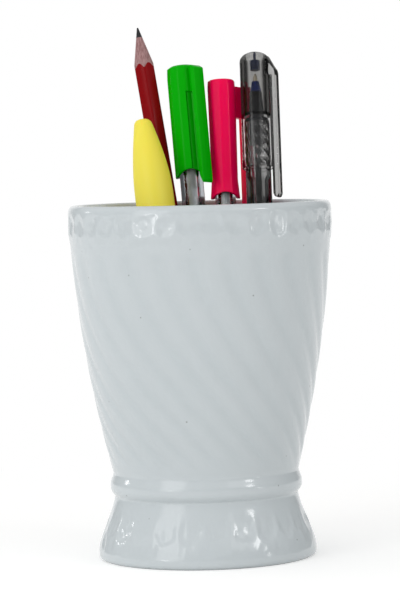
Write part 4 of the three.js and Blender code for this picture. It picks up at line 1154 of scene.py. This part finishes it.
studio = {
    "floorRadius": 3.0, "floorColour": "EDEDEC", "floorGlow": 0.34, "shadowReach": (0.13, 0.3),
    "roomLevel": 0.71, "leftShare": 0.2, "sideLevel": 0.16, "backdropSpread": (0.8, 0.97),
    "ceilingLevel": 0.62, "ceilingSpread": (0.05, 0.6),
    # each window: azimuth, distance, the height of its middle, its tilt, width, height, power
    "windows": {
        "leftWindow": (-43, 1.15, 0.49, 0, 0.6, 0.9, 3.0), "rightWindow": (40, 1.1, 0.75, 31, 0.5, 0.4, 0.6),
        "lowLamp": (-44, 1.1, 0.11, 0, 0.13, 0.09, 0.28), "rightLamp": (56, 1.1, 0.52, 21, 0.18, 0.16, 0.9),
        "lowRightLamp": (66, 1.1, 0.11, 0, 0.13, 0.09, 0.26),
        "rearLamp": (-114, 1.1, 0.32, 15, 0.1, 0.08, 0.24),
    },
}
view = {
    "place": (-0.0006, -1.0, 0.1423), "aim": (-0.0006, 0.0, 0.0899), "roll": 1.45,
    "lens": 171.43, "sensor": 36.0,
}


def seenDirectly(tree):
    # 1 for what the camera, a reflection or a clear piece shows, and 0 for the light on matt surfaces
    work = formulaIn(tree)
    path = addNode(tree, "ShaderNodeLightPath").outputs
    shown = work("MAXIMUM", path["Is Camera Ray"], path["Is Glossy Ray"])
    return work("MAXIMUM", shown, path["Is Transmission Ray"])


def makeFloor():
    mesh = bpy.data.meshes.new("tableTop")
    mesh.from_pydata(ringAt(studio["floorRadius"], 0, 96), [], [range(96)])
    floor = newObject("tableTop", mesh)
    material = bpy.data.materials.new("matPaleTable")
    material.use_nodes = True
    tree = material.node_tree
    tree.nodes.remove(tree.nodes["Principled BSDF"])
    work = formulaIn(tree)
    # a white that the eye sees as the background; the shadow stays in it
    lit = addNode(tree, "ShaderNodeBsdfDiffuse", {}, {"Color": hexColour(studio["floorColour"])})
    seen = seenDirectly(tree)
    glow = addNode(tree, "ShaderNodeEmission", {}, {"Strength": work("MULTIPLY", seen, studio["floorGlow"])})
    both = addNode(tree, "ShaderNodeAddShader", {}, {0: lit, 1: glow})
    # past the reach of the cup's shadow the table is plain white, out to the horizon
    place = addNode(tree, "ShaderNodeTexCoord").outputs["Object"]
    away = addNode(tree, "ShaderNodeVectorMath", {"operation": "LENGTH"}, {0: place}).outputs["Value"]
    near, far = studio["shadowReach"]
    fade = addNode(tree, "ShaderNodeMapRange", {"interpolation_type": "SMOOTHSTEP"}, {
        "Value": away, "From Min": near, "From Max": far})
    table = addNode(tree, "ShaderNodeMixShader", {}, {
        0: work("MULTIPLY", fade, seen), 1: both, 2: addNode(tree, "ShaderNodeEmission")})
    setInputs(tree.nodes["Material Output"], {"Surface": table})
    mesh.materials.append(material)


def makeRoom():
    # A white backdrop behind the object in a dimmer room, whose light comes a little more from the left
    world = bpy.data.worlds.new("paleRoom")
    bpy.context.scene.world = world
    world.use_nodes = True
    tree = world.node_tree
    work = formulaIn(tree)
    direction = addNode(tree, "ShaderNodeTexCoord").outputs["Generated"]
    towards = addNode(tree, "ShaderNodeSeparateXYZ", {}, {0: direction}).outputs
    near, far = studio["backdropSpread"]
    backdrop = addNode(tree, "ShaderNodeMapRange", {"interpolation_type": "SMOOTHSTEP"}, {
        "Value": towards["Y"], "From Min": near, "From Max": far, "To Min": studio["sideLevel"]})
    near, far = studio["ceilingSpread"]
    ceiling = addNode(tree, "ShaderNodeMapRange", {"interpolation_type": "SMOOTHSTEP"}, {
        "Value": towards["Z"], "From Min": near, "From Max": far, "To Max": studio["ceilingLevel"]})
    cameraRay = addNode(tree, "ShaderNodeLightPath").outputs["Is Camera Ray"]
    shown = work("MAXIMUM", work("MAXIMUM", backdrop, ceiling), cameraRay)
    lighting = work("MULTIPLY_ADD", towards["X"], -studio["leftShare"], studio["roomLevel"])
    strength = addNode(tree, "ShaderNodeMix", {"data_type": "FLOAT"}, {
        "Factor": seenDirectly(tree), 2: lighting, 3: shown})
    setInputs(tree.nodes["Background"], {"Color": (1, 1, 1, 1), "Strength": strength})


def makeWindow(name, azimuth, distance, middle, tilt, width, height, power):
    # A soft window, its azimuth counted round from the front (-Y towards +X), leaning over by its tilt
    a, t = math.radians(azimuth), math.radians(tilt)
    facing = Vector((math.sin(a) * math.cos(t), -math.cos(a) * math.cos(t), math.sin(t)))
    light = bpy.data.lights.new(name, "AREA")
    light.shape, light.size, light.size_y, light.energy = "RECTANGLE", width, height, power
    lamp = newObject(name, light)
    lamp.location = (math.sin(a) * distance, -math.cos(a) * distance, middle)
    lamp.rotation_euler = facing.to_track_quat("Z", "Y").to_euler()


def makeCamera():
    camera = bpy.data.cameras.new("camera")
    camera.lens, camera.sensor_width = view["lens"], view["sensor"]
    eye = newObject("camera", camera)
    place, aim = Vector(view["place"]), Vector(view["aim"])
    back = (place - aim).normalized()
    level = Vector((0, 0, 1)).cross(back).normalized()
    upright = back.cross(level)
    roll = math.radians(view["roll"])
    right = level * math.cos(roll) - upright * math.sin(roll)
    up = level * math.sin(roll) + upright * math.cos(roll)
    eye.matrix_world = Matrix.Translation(place) @ Matrix((right, up, back)).transposed().to_4x4()
    bpy.context.scene.camera = eye


makeFloor()
makeRoom()
for name, window in studio["windows"].items():
    makeWindow(name, *window)
makeCamera()
bpy.context.scene.view_settings.view_transform = "Standard"
print("floor, light and camera set")
